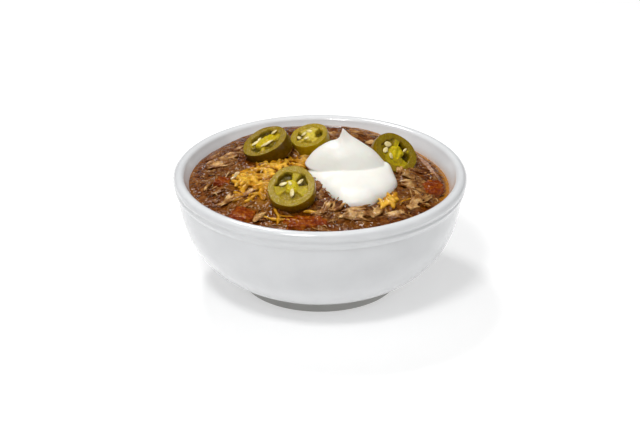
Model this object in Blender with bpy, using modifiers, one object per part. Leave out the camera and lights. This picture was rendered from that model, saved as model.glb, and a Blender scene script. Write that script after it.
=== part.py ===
"""Chili con carne in its bowl.

A thick white china bowl is filled with shredded-beef chili. On top lie a dollop
of sour cream, four slices of pickled jalapeno, diced tomato and melted cheese.

Units are metres, +Z is up. The origin is the middle of the foot ring's underside.
-Y is the front of the serving, the side that the dollop's lower fold faces.
"""

import math

import bmesh
import bpy
from mathutils import Matrix, Vector, noise

MM = 0.001
GAP = 0.3 * MM              # clearance between pieces that touch
TURN = 2.0 * math.pi
SHARP_ANGLE = math.radians(50.0)   # edges sharper than this aren't smoothed

# ---- bowl ---------------------------------------------------------------
BOWL_RADIUS = 76.0 * MM     # outside of the rolled rim
BOWL_HEIGHT = 61.1 * MM     # crest of the rolled rim
RIM_ROLL = 3.0 * MM         # radius of the rim's round edge
RIM_DIP = 0.2 * MM          # waist between the rolled edge and the bead
BEAD_HEIGHT = 54.2 * MM
BEAD_RADIUS = 75.3 * MM
GROOVE_HEIGHT = 51.3 * MM
GROOVE_RADIUS = 73.9 * MM
SHOULDER_HEIGHT = 49.5 * MM
SHOULDER_RADIUS = 73.6 * MM
FOOT_RADIUS = 41.0 * MM
FOOT_HEIGHT = 4.5 * MM
FOOT_WIDTH = 5.0 * MM
FOOT_ROUND = 0.8 * MM
FOOT_RECESS = 2.2 * MM
INNER_THROAT_RADIUS = 66.9 * MM
INNER_THROAT_HEIGHT = 52.0 * MM
INNER_FLOOR_RADIUS = 26.0 * MM
INNER_FLOOR_HEIGHT = 8.0 * MM
BOWL_STEPS = 48
# how far the curves of the profile leave each end before they bend: radius, height
FLOOR_PULL = Vector((25.0, 1.0)) * MM
WALL_PULL = Vector((1.2, 27.0)) * MM
THROAT_PULL = Vector((0.3, 3.2)) * MM
LIP_PULL = Vector((1.2, 2.4)) * MM
BODY_PULL = Vector((2.6, 27.5)) * MM
FOOT_PULL = Vector((16.0, 6.6)) * MM
LIP_ANGLE = math.radians(150.0)   # where the inside meets the round rim

# ---- chili --------------------------------------------------------------
CHILI_CROWN = 62.3 * MM     # level in the middle of the heap
CHILI_EDGE = 55.3 * MM      # level where it meets the wall
CHILI_FALL = 2.2            # power of the fall from crown to edge
CHILI_BACK_RISE = 1.7 * MM
CHILI_BACK = (95.0, 38.0)   # middle and half width of the raised arc (degrees)
CHILI_RIGHT_DROP = 3.0 * MM
CHILI_RIGHT = (14.0, 42.0)  # middle and half width of the lowered arc (degrees)
CHILI_LUMP = 1.9 * MM       # height of the lumps of meat
CHILI_LUMP_SIZE = 8.5 * MM
CHILI_SEGMENTS = BOWL_STEPS  # its facets line up with the bowl's
CHILI_RINGS = 18
CHILI_WALL_CROWDING = 1.9   # rings crowd towards the top of the wall, where it flares
CHILI_WALL_STEP = 1.0 * MM  # shortest step down the wall from the chili's edge
# food heaped under the high side of each jalapeno slice, then the dips before two of them:
# middle x, y, height, spread (mm)
MOUNDS = (
    (-20.0, 26.0, 4.0, 6.5),
    (-1.0, 34.0, 3.5, 6.5),
    (-13.5, -25.0, 6.0, 6.0),
    (33.0, 20.0, 6.0, 6.5),
    (-10.0, 13.0, -2.6, 8.0),
    (-13.0, -46.0, -1.2, 7.0),
)

# ---- sour cream ---------------------------------------------------------
CREAM_CENTRE = Vector((16.6, -13.6, 59.6)) * MM
CREAM_HALF_WIDTH = 23.0 * MM
CREAM_HALF_DEPTH = 27.2 * MM
CREAM_LOBE_HEIGHT = 7.8 * MM
CREAM_SINK = 5.0 * MM       # how deep the dollop has settled in the chili
CREAM_FULLNESS = 0.62       # below 1 fills out the lower lobe's shoulders
CREAM_CURL = Vector((36.5, 2.0)) * MM    # the lower lobe's right side rises here
CREAM_CURL_HEIGHT = 3.4 * MM
CREAM_CURL_SPREAD = 5.5 * MM
CREAM_FOLD_CENTRE = Vector((12.8, -1.2, 65.9)) * MM
CREAM_FOLD_HALF_WIDTH = 20.7 * MM
CREAM_FOLD_HALF_DEPTH = 13.6 * MM
CREAM_FOLD_HEIGHT = 12.1 * MM
CREAM_FOLD_SINK = 4.0 * MM
CREAM_FOLD_DOME = 2.4       # power by which the fold falls from its top to its rim
CREAM_PEAK = Vector((11.6, 0.0)) * MM     # the thin tip where the spoon left the cream
CREAM_PEAK_HEIGHT = 6.4 * MM
CREAM_PEAK_LEFT = 1.6 * MM  # how far the tip spreads to its steep left side
CREAM_PEAK_RIGHT = 5.4 * MM  # and along the ridge to its right
CREAM_PEAK_DEPTH = 3.0 * MM
CREAM_SWELLS = ((2.0, -0.7, 0.035), (3.0, 1.1, 0.0175))   # waves round a lobe's girth, phase, share
CREAM_SEGMENTS = 26
CREAM_RINGS = 12

# ---- jalapeno slices ----------------------------------------------------
# middle of the cut face, the way that face looks, radius, thickness, flesh thickness
# and the turn of the seed chambers about the slice's axis (mm and degrees)
JALAPENOS = (
    (Vector((-29.0, 19.2, 69.6)), Vector((-0.380, -0.190, 0.905)), 12.4, 8.0, 3.0, 20.0),
    (Vector((-5.8, 26.2, 69.9)), Vector((-0.249, -0.203, 0.946)), 10.2, 9.4, 2.9, 75.0),
    (Vector((-14.4, -37.0, 69.4)), Vector((-0.100, -0.530, 0.840)), 12.2, 7.0, 3.2, 130.0),
    (Vector((39.6, 11.4, 66.3)), Vector((0.470, -0.476, 0.736)), 12.2, 5.6, 3.0, 200.0),
)
JALAPENO_SIDES = 28
JALAPENO_EDGE = 0.7 * MM
CHAMBERS = 3
CHAMBER_SPAN = math.radians(74.0)
CHAMBER_INNER_SPAN = 0.8    # share of that span next to the core
CHAMBER_ROUNDING = 0.25     # how far a chamber's outer corners draw in
CHAMBER_OUTER_POINTS = 6
CHAMBER_INNER_POINTS = 4
CHAMBER_OVERSHOOT = 1.0 * MM   # how far its cutter passes either face of the slice
CORE_SHARE = 0.36           # core radius as a share of the slice's radius

# ---- diced tomato: middle, half sizes, turn about Z, tilt (mm and degrees) ----
TOMATOES = (
    (Vector((-6.6, -55.6, 56.0)), Vector((10.6, 4.8, 3.4)), 2.0, 6.0),
    (Vector((-38.6, -45.8, 55.6)), Vector((6.4, 5.8, 3.4)), -20.0, 6.0),
    (Vector((-49.4, -8.8, 57.0)), Vector((4.8, 5.0, 3.0)), -12.0, -6.0),
    (Vector((57.6, -10.0, 53.6)), Vector((5.4, 7.6, 3.4)), -22.0, 4.0),
)
TOMATO_NARROWING = 0.14     # one end is narrower by this share
TOMATO_ROUNDING = 0.10      # how far corners draw in
TOMATO_CROWN = 0.16         # how far top and underside swell

# ---- melted cheese: middle, half length, half width, thickness, turn about Z (mm and degrees) ----
CHEESES = (
    (Vector((-26.5, -5.5)), 19.0, 14.0, 2.6, 32.0),
    (Vector((36.5, -32.0)), 10.4, 3.4, 2.6, 56.0),
)
CHEESE_SINK = 1.2 * MM
CHEESE_LOBES = ((3, 0.8, 0.09), (5, 0.0, 0.07), (8, 2.0, 0.04))   # waves round the edge, phase, share
CHEESE_BLUNTNESS = 0.7      # below 1 keeps the patch thick near its edge
CHEESE_SEGMENTS = 24
CHEESE_RINGS = 8


def clear_scene():
    """Remove every object that a new file starts with."""
    for old in list(bpy.data.objects):
        bpy.data.objects.remove(old, do_unlink=True)


def new_collection(name):
    """A collection linked to the scene."""
    group = bpy.data.collections.new(name)
    bpy.context.scene.collection.children.link(group)
    return group


def principled(name, colour, roughness):
    """A plain Principled material."""
    material = bpy.data.materials.new(name)
    material.use_nodes = True
    shader = material.node_tree.nodes["Principled BSDF"]
    shader.inputs["Base Color"].default_value = (*colour, 1.0)
    shader.inputs["Roughness"].default_value = roughness
    shader.inputs["Metallic"].default_value = 0.0
    return material


def object_from_bmesh(name, shape, group, material=None):
    """Turn a bmesh into a smooth-shaded object in a collection."""
    bmesh.ops.recalc_face_normals(shape, faces=shape.faces)
    mesh = bpy.data.meshes.new(name)
    shape.to_mesh(mesh)
    shape.free()
    mesh.shade_smooth()
    mesh.set_sharp_from_angle(angle=SHARP_ANGLE)
    piece = bpy.data.objects.new(name, mesh)
    group.objects.link(piece)
    if material is not None:
        mesh.materials.append(material)
    return piece


def hide_as_cutter(cutter):
    """Mark an object as a tool that isn't part of the model."""
    cutter.hide_render = True
    cutter.display_type = "WIRE"
    return cutter


def make_bed(piece, group):
    """A copy of a piece as it is now, grown by the clearance, that others are cut with."""
    bpy.context.view_layer.update()
    finished = piece.evaluated_get(bpy.context.evaluated_depsgraph_get())
    cutter = bpy.data.objects.new(piece.name + "_bed", bpy.data.meshes.new_from_object(finished))
    cutter.matrix_world = piece.matrix_world.copy()
    group.objects.link(cutter)
    grow = cutter.modifiers.new("grow", "DISPLACE")
    grow.strength = GAP
    grow.mid_level = 0.0
    return hide_as_cutter(cutter)


def world_box(piece):
    """Lowest and highest corner of a piece, in the world."""
    corners = [piece.matrix_world @ Vector(corner) for corner in piece.bound_box]
    low = [min(corner[axis] for corner in corners) for axis in range(3)]
    high = [max(corner[axis] for corner in corners) for axis in range(3)]
    return low, high


def boxes_meet(first, second):
    """Whether two pieces' boxes overlap, with the clearance to spare."""
    low_a, high_a = world_box(first)
    low_b, high_b = world_box(second)
    return all(low_a[axis] - GAP < high_b[axis] and low_b[axis] - GAP < high_a[axis] for axis in range(3))


def cut(piece, cutter):
    """Take the cutter's volume out of a piece that it reaches."""
    bpy.context.view_layer.update()
    if not boxes_meet(piece, cutter):
        return
    boolean = piece.modifiers.new("cut " + cutter.name, "BOOLEAN")
    boolean.operation = "DIFFERENCE"
    boolean.object = cutter


def bezier(start, pull_start, pull_end, end, count):
    """Points along a cubic curve in the (radius, height) plane, without its start."""
    points = []
    for step in range(1, count + 1):
        t = step / count
        s = 1.0 - t
        points.append(start * s**3 + pull_start * 3 * s * s * t + pull_end * 3 * s * t * t + end * t**3)
    return points


# ---- bowl ---------------------------------------------------------------
def inner_profile():
    """The inside of the bowl from the middle of the floor up to the rim roll."""
    floor = Vector((INNER_FLOOR_RADIUS, INNER_FLOOR_HEIGHT))
    throat = Vector((INNER_THROAT_RADIUS, INNER_THROAT_HEIGHT))
    points = [Vector((0.0, INNER_FLOOR_HEIGHT)), floor]
    points += bezier(floor, floor + FLOOR_PULL, throat - WALL_PULL, throat, 5)
    roll_centre = Vector((BOWL_RADIUS - RIM_ROLL, BOWL_HEIGHT - RIM_ROLL))
    lip = roll_centre + Vector((math.cos(LIP_ANGLE), math.sin(LIP_ANGLE))) * RIM_ROLL
    points += bezier(throat, throat + THROAT_PULL, lip - LIP_PULL, lip, 3)
    return points


def outer_profile():
    """The rim roll, bead, body, foot and recess, from the rim down to the axis."""
    roll_centre = Vector((BOWL_RADIUS - RIM_ROLL, BOWL_HEIGHT - RIM_ROLL))
    points = []
    for angle in (120, 90, 60, 30, 0, -35):
        turn = math.radians(angle)
        points.append(roll_centre + Vector((math.cos(turn), math.sin(turn))) * RIM_ROLL)
    waist = (points[-1].y + BEAD_HEIGHT) / 2.0
    points.append(Vector((BEAD_RADIUS - RIM_DIP, waist)))
    points.append(Vector((BEAD_RADIUS, BEAD_HEIGHT)))
    points.append(Vector((BEAD_RADIUS - RIM_DIP, (BEAD_HEIGHT * 2.0 + GROOVE_HEIGHT) / 3.0)))
    points.append(Vector((GROOVE_RADIUS, GROOVE_HEIGHT)))
    shoulder = Vector((SHOULDER_RADIUS, SHOULDER_HEIGHT))
    foot_top = Vector((FOOT_RADIUS, FOOT_HEIGHT))
    points.append(shoulder)
    points += bezier(shoulder, shoulder - BODY_PULL, foot_top + FOOT_PULL, foot_top, 7)
    points.append(Vector((FOOT_RADIUS, FOOT_ROUND)))
    points.append(Vector((FOOT_RADIUS - FOOT_ROUND, 0.0)))
    points.append(Vector((FOOT_RADIUS - FOOT_WIDTH, 0.0)))
    points.append(Vector((FOOT_RADIUS - FOOT_WIDTH - FOOT_RECESS, FOOT_RECESS)))
    points.append(Vector((0.0, FOOT_RECESS)))
    return points


def make_bowl(group, material):
    """The bowl is one turned profile."""
    profile = inner_profile() + outer_profile()
    mesh = bpy.data.meshes.new("bowl")
    corners = [(point.x, 0.0, point.y) for point in profile]
    edges = [(index, index + 1) for index in range(len(profile) - 1)]
    mesh.from_pydata(corners, edges, [])
    mesh.materials.append(material)
    bowl = bpy.data.objects.new("bowl", mesh)
    group.objects.link(bowl)
    turn = bowl.modifiers.new("turn", "SCREW")
    turn.steps = BOWL_STEPS
    turn.render_steps = BOWL_STEPS
    turn.use_merge_vertices = True
    turn.merge_threshold = 0.00001
    turn.use_smooth_shade = True
    return bowl


def inner_radius(height):
    """Radius of the bowl's inside at a height."""
    profile = inner_profile()
    for low, high in zip(profile, profile[1:]):
        if low.y <= height <= high.y and high.y > low.y:
            share = (height - low.y) / (high.y - low.y)
            return low.x + (high.x - low.x) * share
    return profile[-1].x


# ---- chili --------------------------------------------------------------
def plateau(angle, middle, width):
    """1 near the middle angle, falling softly to 0 past the width (degrees)."""
    away = (math.degrees(angle) - middle + 180.0) % 360.0 - 180.0
    return math.exp(-((away / width) ** 4))


def edge_level(angle):
    """Where the chili meets the wall: higher at the back, lower on the right."""
    level = CHILI_EDGE
    level += CHILI_BACK_RISE * plateau(angle, *CHILI_BACK)
    level -= CHILI_RIGHT_DROP * plateau(angle, *CHILI_RIGHT)
    return level


def chili_level(x, y):
    """Height of the heap's surface above a point."""
    angle = math.atan2(y, x)
    edge = edge_level(angle)
    share = min(math.hypot(x, y) / inner_radius(edge), 1.0)
    lump = noise.noise(Vector((x, y, 0.0)) / CHILI_LUMP_SIZE) * CHILI_LUMP * (1.0 - share**6)
    for middle_x, middle_y, height, spread in MOUNDS:
        away = math.hypot(x / MM - middle_x, y / MM - middle_y)
        lump += height * MM * math.exp(-((away / spread) ** 2))
    return CHILI_CROWN - (CHILI_CROWN - edge) * share**CHILI_FALL + lump


def wall_walk(height, share):
    """A point that goes down the inside of the wall from a height to the floor's middle."""
    start = Vector((inner_radius(height), height))
    route = [start] + [point for point in reversed(inner_profile()) if point.y < height - CHILI_WALL_STEP]
    lengths = [(b - a).length for a, b in zip(route, route[1:])]
    left = share * sum(lengths)
    for index, length in enumerate(lengths):
        if left <= length:
            return route[index].lerp(route[index + 1], left / length)
        left -= length
    return route[-1]


def make_chili(group, material):
    """A ball reshaped: its top half is the heap, its lower half lines the bowl."""
    shape = bmesh.new()
    bmesh.ops.create_uvsphere(shape, u_segments=CHILI_SEGMENTS, v_segments=CHILI_RINGS, radius=1.0)
    for corner in shape.verts:
        angle = math.atan2(corner.co.y, corner.co.x)
        latitude = math.asin(max(-1.0, min(1.0, corner.co.z))) / (math.pi / 2.0)
        edge = edge_level(angle)
        if latitude > -0.001:
            reach = (inner_radius(edge) - GAP) * (1.0 - max(latitude, 0.0))
            x = reach * math.cos(angle)
            y = reach * math.sin(angle)
            corner.co = Vector((x, y, chili_level(x, y)))
        else:
            wall = wall_walk(edge, (-latitude) ** CHILI_WALL_CROWDING)
            reach = max(wall.x - GAP, 0.0)
            corner.co = Vector((reach * math.cos(angle), reach * math.sin(angle), wall.y - GAP * latitude))
    bmesh.ops.triangulate(shape, faces=shape.faces)
    return object_from_bmesh("chili", shape, group, material)


# ---- sour cream ---------------------------------------------------------
def lobe(centre, half_width, half_depth, up, down, dome):
    """A soft round mass: a ball with a wavy girth and its own reach up and down.

    dome gives, for a point's share of the way out from the axis, its place there and its height.
    """
    shape = bmesh.new()
    bmesh.ops.create_uvsphere(shape, u_segments=CREAM_SEGMENTS, v_segments=CREAM_RINGS, radius=1.0)
    for corner in shape.verts:
        angle = math.atan2(corner.co.y, corner.co.x)
        reach, height = dome(min(math.hypot(corner.co.x, corner.co.y), 1.0))
        height *= up if corner.co.z > 0.0 else -down
        swell = 1.0 + sum(share * math.cos(waves * angle + phase) for waves, phase, share in CREAM_SWELLS)
        side = Vector((math.cos(angle) * half_width, math.sin(angle) * half_depth, 0.0))
        corner.co = centre + side * reach * swell + Vector((0.0, 0.0, height))
    return shape


def full_dome(share):
    """A lobe with a broad top and full shoulders."""
    return share**CREAM_FULLNESS, math.sqrt(1.0 - share * share)


def soft_dome(share):
    """A lobe that falls ever faster from its top to its rim."""
    return share, 1.0 - share**CREAM_FOLD_DOME


def raise_curl(shape):
    """Swell the lower lobe's right side up beside the fold."""
    for corner in shape.verts:
        if corner.co.z > CREAM_CENTRE.z:
            away = (corner.co.xy - CREAM_CURL).length / CREAM_CURL_SPREAD
            corner.co.z += CREAM_CURL_HEIGHT * math.exp(-(away**2))


def raise_peak(shape):
    """Draw the top of the fold to the peak and up into a thin tip, steep on its left."""
    for corner in shape.verts:
        if corner.co.z <= CREAM_FOLD_CENTRE.z:
            continue
        share = (corner.co.z - CREAM_FOLD_CENTRE.z) / CREAM_FOLD_HEIGHT
        corner.co.xy += (CREAM_PEAK - CREAM_FOLD_CENTRE.xy) * share**2
        across = corner.co.x - CREAM_PEAK.x
        along = corner.co.y - CREAM_PEAK.y
        spread = CREAM_PEAK_LEFT if across < 0.0 else CREAM_PEAK_RIGHT
        corner.co.z += CREAM_PEAK_HEIGHT * math.exp(-math.hypot(across / spread, along / CREAM_PEAK_DEPTH))


def make_sour_cream(group, cutters, material):
    """The lower lobe with the fold laid over it as one mass."""
    lower = lobe(CREAM_CENTRE, CREAM_HALF_WIDTH, CREAM_HALF_DEPTH, CREAM_LOBE_HEIGHT, CREAM_SINK, full_dome)
    raise_curl(lower)
    cream = object_from_bmesh("sour_cream", lower, group, material)
    upper = lobe(CREAM_FOLD_CENTRE, CREAM_FOLD_HALF_WIDTH, CREAM_FOLD_HALF_DEPTH, CREAM_FOLD_HEIGHT,
                 CREAM_FOLD_SINK, soft_dome)
    raise_peak(upper)
    fold = hide_as_cutter(object_from_bmesh("cream_fold", upper, cutters))
    join = cream.modifiers.new("fold", "BOOLEAN")
    join.operation = "UNION"
    join.object = fold
    return cream


# ---- jalapeno -----------------------------------------------------------
def slice_frame(face_middle, facing):
    """The slice's own frame: its cut face at Z = 0, looking along +Z."""
    turn = Vector((0.0, 0.0, 1.0)).rotation_difference(facing.normalized())
    return Matrix.Translation(face_middle * MM) @ turn.to_matrix().to_4x4()


def slice_disc(radius, thickness, sides):
    """A flat drum whose top is the cut face at Z = 0."""
    shape = bmesh.new()
    place = Matrix.Translation((0.0, 0.0, -thickness / 2.0))
    bmesh.ops.create_cone(shape, cap_ends=True, segments=sides, radius1=radius, radius2=radius,
                          depth=thickness, matrix=place)
    return shape


def chamber_prism(inner, outer, middle, thickness):
    """A bean-shaped prism: one seed chamber, longer than the slice is thick."""
    outline = []
    for step in range(CHAMBER_OUTER_POINTS):
        off = step / (CHAMBER_OUTER_POINTS - 1) - 0.5
        angle = middle + CHAMBER_SPAN * off
        reach = outer * (1.0 - CHAMBER_ROUNDING * 2.0 * abs(off))
        outline.append(Vector((math.cos(angle), math.sin(angle))) * reach)
    for step in range(CHAMBER_INNER_POINTS):
        off = step / (CHAMBER_INNER_POINTS - 1) - 0.5
        angle = middle - CHAMBER_SPAN * CHAMBER_INNER_SPAN * off
        outline.append(Vector((math.cos(angle), math.sin(angle))) * inner)
    shape = bmesh.new()
    top = [shape.verts.new((point.x, point.y, CHAMBER_OVERSHOOT)) for point in outline]
    face = shape.faces.new(top)
    extruded = bmesh.ops.extrude_face_region(shape, geom=[face])
    moved = [item for item in extruded["geom"] if isinstance(item, bmesh.types.BMVert)]
    bmesh.ops.translate(shape, verts=moved, vec=(0.0, 0.0, -thickness - 2.0 * CHAMBER_OVERSHOOT))
    return shape


def make_jalapeno(index, dimensions, group, cutters, material):
    """One slice: skin and flesh as a ring, with a core held by ribs between chambers."""
    face_middle, facing, radius, thickness, flesh, turn = dimensions
    radius *= MM
    thickness *= MM
    name = f"jalapeno_{index + 1}"
    place = slice_frame(face_middle, facing)
    piece = object_from_bmesh(name, slice_disc(radius, thickness, JALAPENO_SIDES), group, material)
    piece.matrix_world = place
    edge = piece.modifiers.new("edge", "BEVEL")
    edge.width = JALAPENO_EDGE
    edge.segments = 1
    for chamber in range(CHAMBERS):
        middle = math.radians(turn) + TURN * chamber / CHAMBERS
        prism = chamber_prism(radius * CORE_SHARE, radius - flesh * MM, middle, thickness)
        cutter = hide_as_cutter(object_from_bmesh(f"{name}_chamber_{chamber + 1}", prism, cutters))
        cutter.matrix_world = place
        cut(piece, cutter)
    seat = slice_disc(radius + GAP, thickness + 2.0 * GAP, JALAPENO_SIDES)
    seat_cutter = hide_as_cutter(object_from_bmesh(name + "_seat", seat, cutters))
    seat_cutter.matrix_world = place @ Matrix.Translation((0.0, 0.0, GAP))
    return seat_cutter


# ---- tomato -------------------------------------------------------------
def make_tomato(index, dimensions, group, material):
    """A diced piece: a box with soft corners and one narrower end."""
    middle, half, turn, tilt = dimensions
    shape = bmesh.new()
    bmesh.ops.create_cube(shape, size=2.0)
    bmesh.ops.subdivide_edges(shape, edges=shape.edges[:], cuts=2, use_grid_fill=True)
    for corner in shape.verts:
        x, y, z = corner.co
        narrow = 1.0 - TOMATO_NARROWING * x
        round_off = 1.0 - TOMATO_ROUNDING * (x * x + y * y + z * z - 1.0)
        crown = TOMATO_CROWN * (1.0 - x * x) * (1.0 - y * y) * (1.0 if z > 0.0 else -1.0)
        corner.co = Vector((x * half.x, y * half.y * narrow, (z + crown) * half.z)) * round_off * MM
    piece = object_from_bmesh(f"tomato_{index + 1}", shape, group, material)
    spin = Matrix.Rotation(math.radians(turn), 4, "Z") @ Matrix.Rotation(math.radians(tilt), 4, "X")
    piece.matrix_world = Matrix.Translation(middle * MM) @ spin
    return piece


# ---- melted cheese ------------------------------------------------------
def make_cheese(index, dimensions, group, material):
    """A thin patch with lobed edges that follows the heap beneath it."""
    middle, half_length, half_width, thickness, turn = dimensions
    spin = Matrix.Rotation(math.radians(turn), 2)
    shape = bmesh.new()
    bmesh.ops.create_uvsphere(shape, u_segments=CHEESE_SEGMENTS, v_segments=CHEESE_RINGS, radius=1.0)
    for corner in shape.verts:
        angle = math.atan2(corner.co.y, corner.co.x)
        latitude = math.asin(max(-1.0, min(1.0, corner.co.z))) / (math.pi / 2.0)
        reach = math.cos(latitude * math.pi / 2.0) ** CHEESE_BLUNTNESS
        reach *= 1.0 + sum(share * math.cos(waves * angle + phase) for waves, phase, share in CHEESE_LOBES)
        flat = Vector((half_length * math.cos(angle), half_width * math.sin(angle))) * reach
        x, y = (middle + spin @ flat) * MM
        rise = thickness * MM if latitude > 0.0 else CHEESE_SINK
        corner.co = Vector((x, y, chili_level(x, y) + rise * math.sin(latitude * math.pi / 2.0)))
    return object_from_bmesh(f"melted_cheese_{index + 1}", shape, group, material)


# ---- assembly -----------------------------------------------------------
def main():
    clear_scene()
    parts = new_collection("chili_con_carne")
    cutters = new_collection("cutters")
    china = principled("china", (0.84, 0.85, 0.86), 0.12)
    stew = principled("chili", (0.16, 0.055, 0.022), 0.30)
    cream_white = principled("sour_cream", (0.90, 0.89, 0.85), 0.35)
    pepper = principled("jalapeno", (0.30, 0.27, 0.045), 0.30)
    tomato_red = principled("tomato", (0.33, 0.045, 0.015), 0.22)
    cheese_gold = principled("melted_cheese", (0.72, 0.33, 0.045), 0.28)

    make_bowl(parts, china)
    chili = make_chili(parts, stew)
    cream = make_sour_cream(parts, cutters, cream_white)
    cheeses = [make_cheese(index, row, parts, cheese_gold) for index, row in enumerate(CHEESES)]
    tomatoes = [make_tomato(index, row, parts, tomato_red) for index, row in enumerate(TOMATOES)]

    seats = [make_jalapeno(index, row, parts, cutters, pepper) for index, row in enumerate(JALAPENOS)]
    cream_bed = make_bed(cream, cutters)
    beds = [make_bed(piece, cutters) for piece in cheeses + tomatoes]

    # the slices press into the cream and the cheese, and everything beds in the chili
    for soft in [cream] + cheeses:
        for seat in seats:
            cut(soft, seat)
    for cheese in cheeses:
        cut(cheese, cream_bed)
    for bed in seats + [cream_bed] + beds:
        cut(chili, bed)


main()
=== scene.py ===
"""The looks of the chili con carne in its bowl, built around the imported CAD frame.

Everything is in metres in the CAD frame: +Z up, -Y the front of the serving.
"""

import math
import random

import bmesh
import bpy
import numpy as np
from mathutils import Matrix, Vector, noise


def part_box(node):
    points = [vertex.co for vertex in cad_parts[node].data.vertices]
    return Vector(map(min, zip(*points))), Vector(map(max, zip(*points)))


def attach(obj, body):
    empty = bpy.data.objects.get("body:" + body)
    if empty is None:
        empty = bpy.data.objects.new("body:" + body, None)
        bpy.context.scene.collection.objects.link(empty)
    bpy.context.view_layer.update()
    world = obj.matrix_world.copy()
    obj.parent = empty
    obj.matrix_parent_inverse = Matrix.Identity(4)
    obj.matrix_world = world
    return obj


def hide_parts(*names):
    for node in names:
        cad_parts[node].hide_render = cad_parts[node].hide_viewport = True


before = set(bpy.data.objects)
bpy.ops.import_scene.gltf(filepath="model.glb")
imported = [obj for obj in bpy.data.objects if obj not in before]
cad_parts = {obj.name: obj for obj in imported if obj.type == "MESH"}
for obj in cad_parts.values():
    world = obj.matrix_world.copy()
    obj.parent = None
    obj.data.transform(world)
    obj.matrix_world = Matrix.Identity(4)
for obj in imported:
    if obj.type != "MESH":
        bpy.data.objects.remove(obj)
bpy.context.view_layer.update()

MM = 0.001
TURN = 2.0 * math.pi
UP = Vector((0.0, 0.0, 1.0))

# ---- the bowl, as in the CAD ---------------------------------------------
BOWL_LOW, BOWL_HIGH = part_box("bowl")
BOWL_RADIUS = BOWL_HIGH.x
BOWL_HEIGHT = BOWL_HIGH.z
RIM_ROLL = 3.0 * MM         # radius of the rim's round edge
RIM_DIP = 0.2 * MM          # waist between the rolled edge and the bead
BEAD = Vector((75.3, 54.2)) * MM
GROOVE = Vector((73.9, 51.3)) * MM
SHOULDER = Vector((73.6, 49.5)) * MM
FOOT_RADIUS = 41.0 * MM
FOOT_HEIGHT = 4.5 * MM
FOOT_WIDTH = 5.0 * MM
FOOT_ROUND = 0.8 * MM
FOOT_RECESS = 2.2 * MM
THROAT = Vector((66.9, 52.0)) * MM
FLOOR = Vector((26.0, 8.0)) * MM
# how far the inside's curves leave each end before they bend: radius, height
FLOOR_PULL = Vector((25.0, 1.0)) * MM
WALL_PULL = Vector((1.2, 27.0)) * MM
THROAT_PULL = Vector((0.3, 3.2)) * MM
LIP_PULL = Vector((1.2, 2.4)) * MM
LIP_ANGLE = 150.0           # where the inside meets the round rim (degrees)
ROLL_END = -35.0            # where the round rim ends outside (degrees)
ROLL_START = 0.001          # steps past the lip, so that the two rings stay apart
TURNED_STEPS = 144

# ---- the heap of chili, as in the CAD ------------------------------------
CHILI_CROWN = 62.3 * MM     # level in the middle of the heap
CHILI_EDGE = 55.3 * MM      # level where it meets the wall
CHILI_FALL = 2.2            # power of the fall from crown to edge
CHILI_BACK_RISE = 1.7 * MM
CHILI_BACK = (95.0, 38.0)   # middle and half width of the raised arc (degrees)
CHILI_RIGHT_DROP = 3.0 * MM
CHILI_RIGHT = (14.0, 42.0)  # middle and half width of the lowered arc (degrees)
CHILI_LUMP = 1.9 * MM
CHILI_LUMP_SIZE = 8.5 * MM
# food heaped under the high side of each jalapeno slice, then the dips before two of them:
# middle x, y, height, spread (mm)
MOUNDS = (
    (-20.0, 26.0, 4.0, 6.5),
    (-1.0, 34.0, 3.5, 6.5),
    (-13.5, -25.0, 6.0, 6.0),
    (33.0, 20.0, 6.0, 6.5),
    (-10.0, 13.0, -2.6, 8.0),
    (-13.0, -46.0, -1.2, 7.0),
)

# ---- camera --------------------------------------------------------------
CAMERA_ELEVATION = math.radians(24.5)
CAMERA_DISTANCE = 1.2776
CAMERA_DIP = math.radians(0.87)     # how far below the rim's middle it aims
CAMERA_LENS = 138.7
RIM_MIDDLE = Vector((0.0, 0.0, BOWL_HEIGHT - RIM_ROLL))


# ---- helpers -------------------------------------------------------------
def mesh_object(name, corners, faces, smooth=True):
    """A mesh object from lists of corners and faces."""
    mesh = bpy.data.meshes.new(name)
    mesh.from_pydata([tuple(corner) for corner in corners], [], [tuple(face) for face in faces])
    mesh.validate()
    mesh.update()
    if smooth:
        mesh.shade_smooth()
    piece = bpy.data.objects.new(name, mesh)
    bpy.context.scene.collection.objects.link(piece)
    return piece


def shape_object(name, shape):
    """A smooth object from a bmesh, which is used up."""
    piece = mesh_object(name, [], [])
    shape.to_mesh(piece.data)
    shape.free()
    piece.data.shade_smooth()
    return piece


def settle(piece, material, node=None):
    """Give a piece its material, hide the CAD node that it stands for, and fix it."""
    piece.data.materials.append(material)
    if node is not None:
        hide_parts(node)
    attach(piece, "root")


def paint(piece, name, values):
    """Store one number for each corner of a mesh, for its material to read."""
    layer = piece.data.attributes.new(name, "FLOAT", "POINT")
    layer.data.foreach_set("value", np.asarray(values, np.float32))


def join(name, parts):
    """Join several meshes, each (corners, faces), into one object."""
    corners, faces = [], []
    for part_corners, part_faces in parts:
        start = len(corners)
        corners += part_corners
        faces += [tuple(index + start for index in face) for face in part_faces]
    return mesh_object(name, corners, faces)


def bake(piece):
    """Apply a piece's modifiers to its mesh."""
    finished = piece.evaluated_get(bpy.context.evaluated_depsgraph_get())
    mesh = bpy.data.meshes.new_from_object(finished)
    piece.modifiers.clear()
    piece.data = mesh
    mesh.shade_smooth()
    return piece


def fuse(piece, voxel, rounds):
    """Melt a piece's overlapping meshes into one soft skin."""
    remesh = piece.modifiers.new("fuse", "REMESH")
    remesh.mode = "VOXEL"
    remesh.voxel_size = voxel
    relax = piece.modifiers.new("relax", "SMOOTH")
    relax.factor = 0.5
    relax.iterations = rounds
    return bake(piece)


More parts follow.
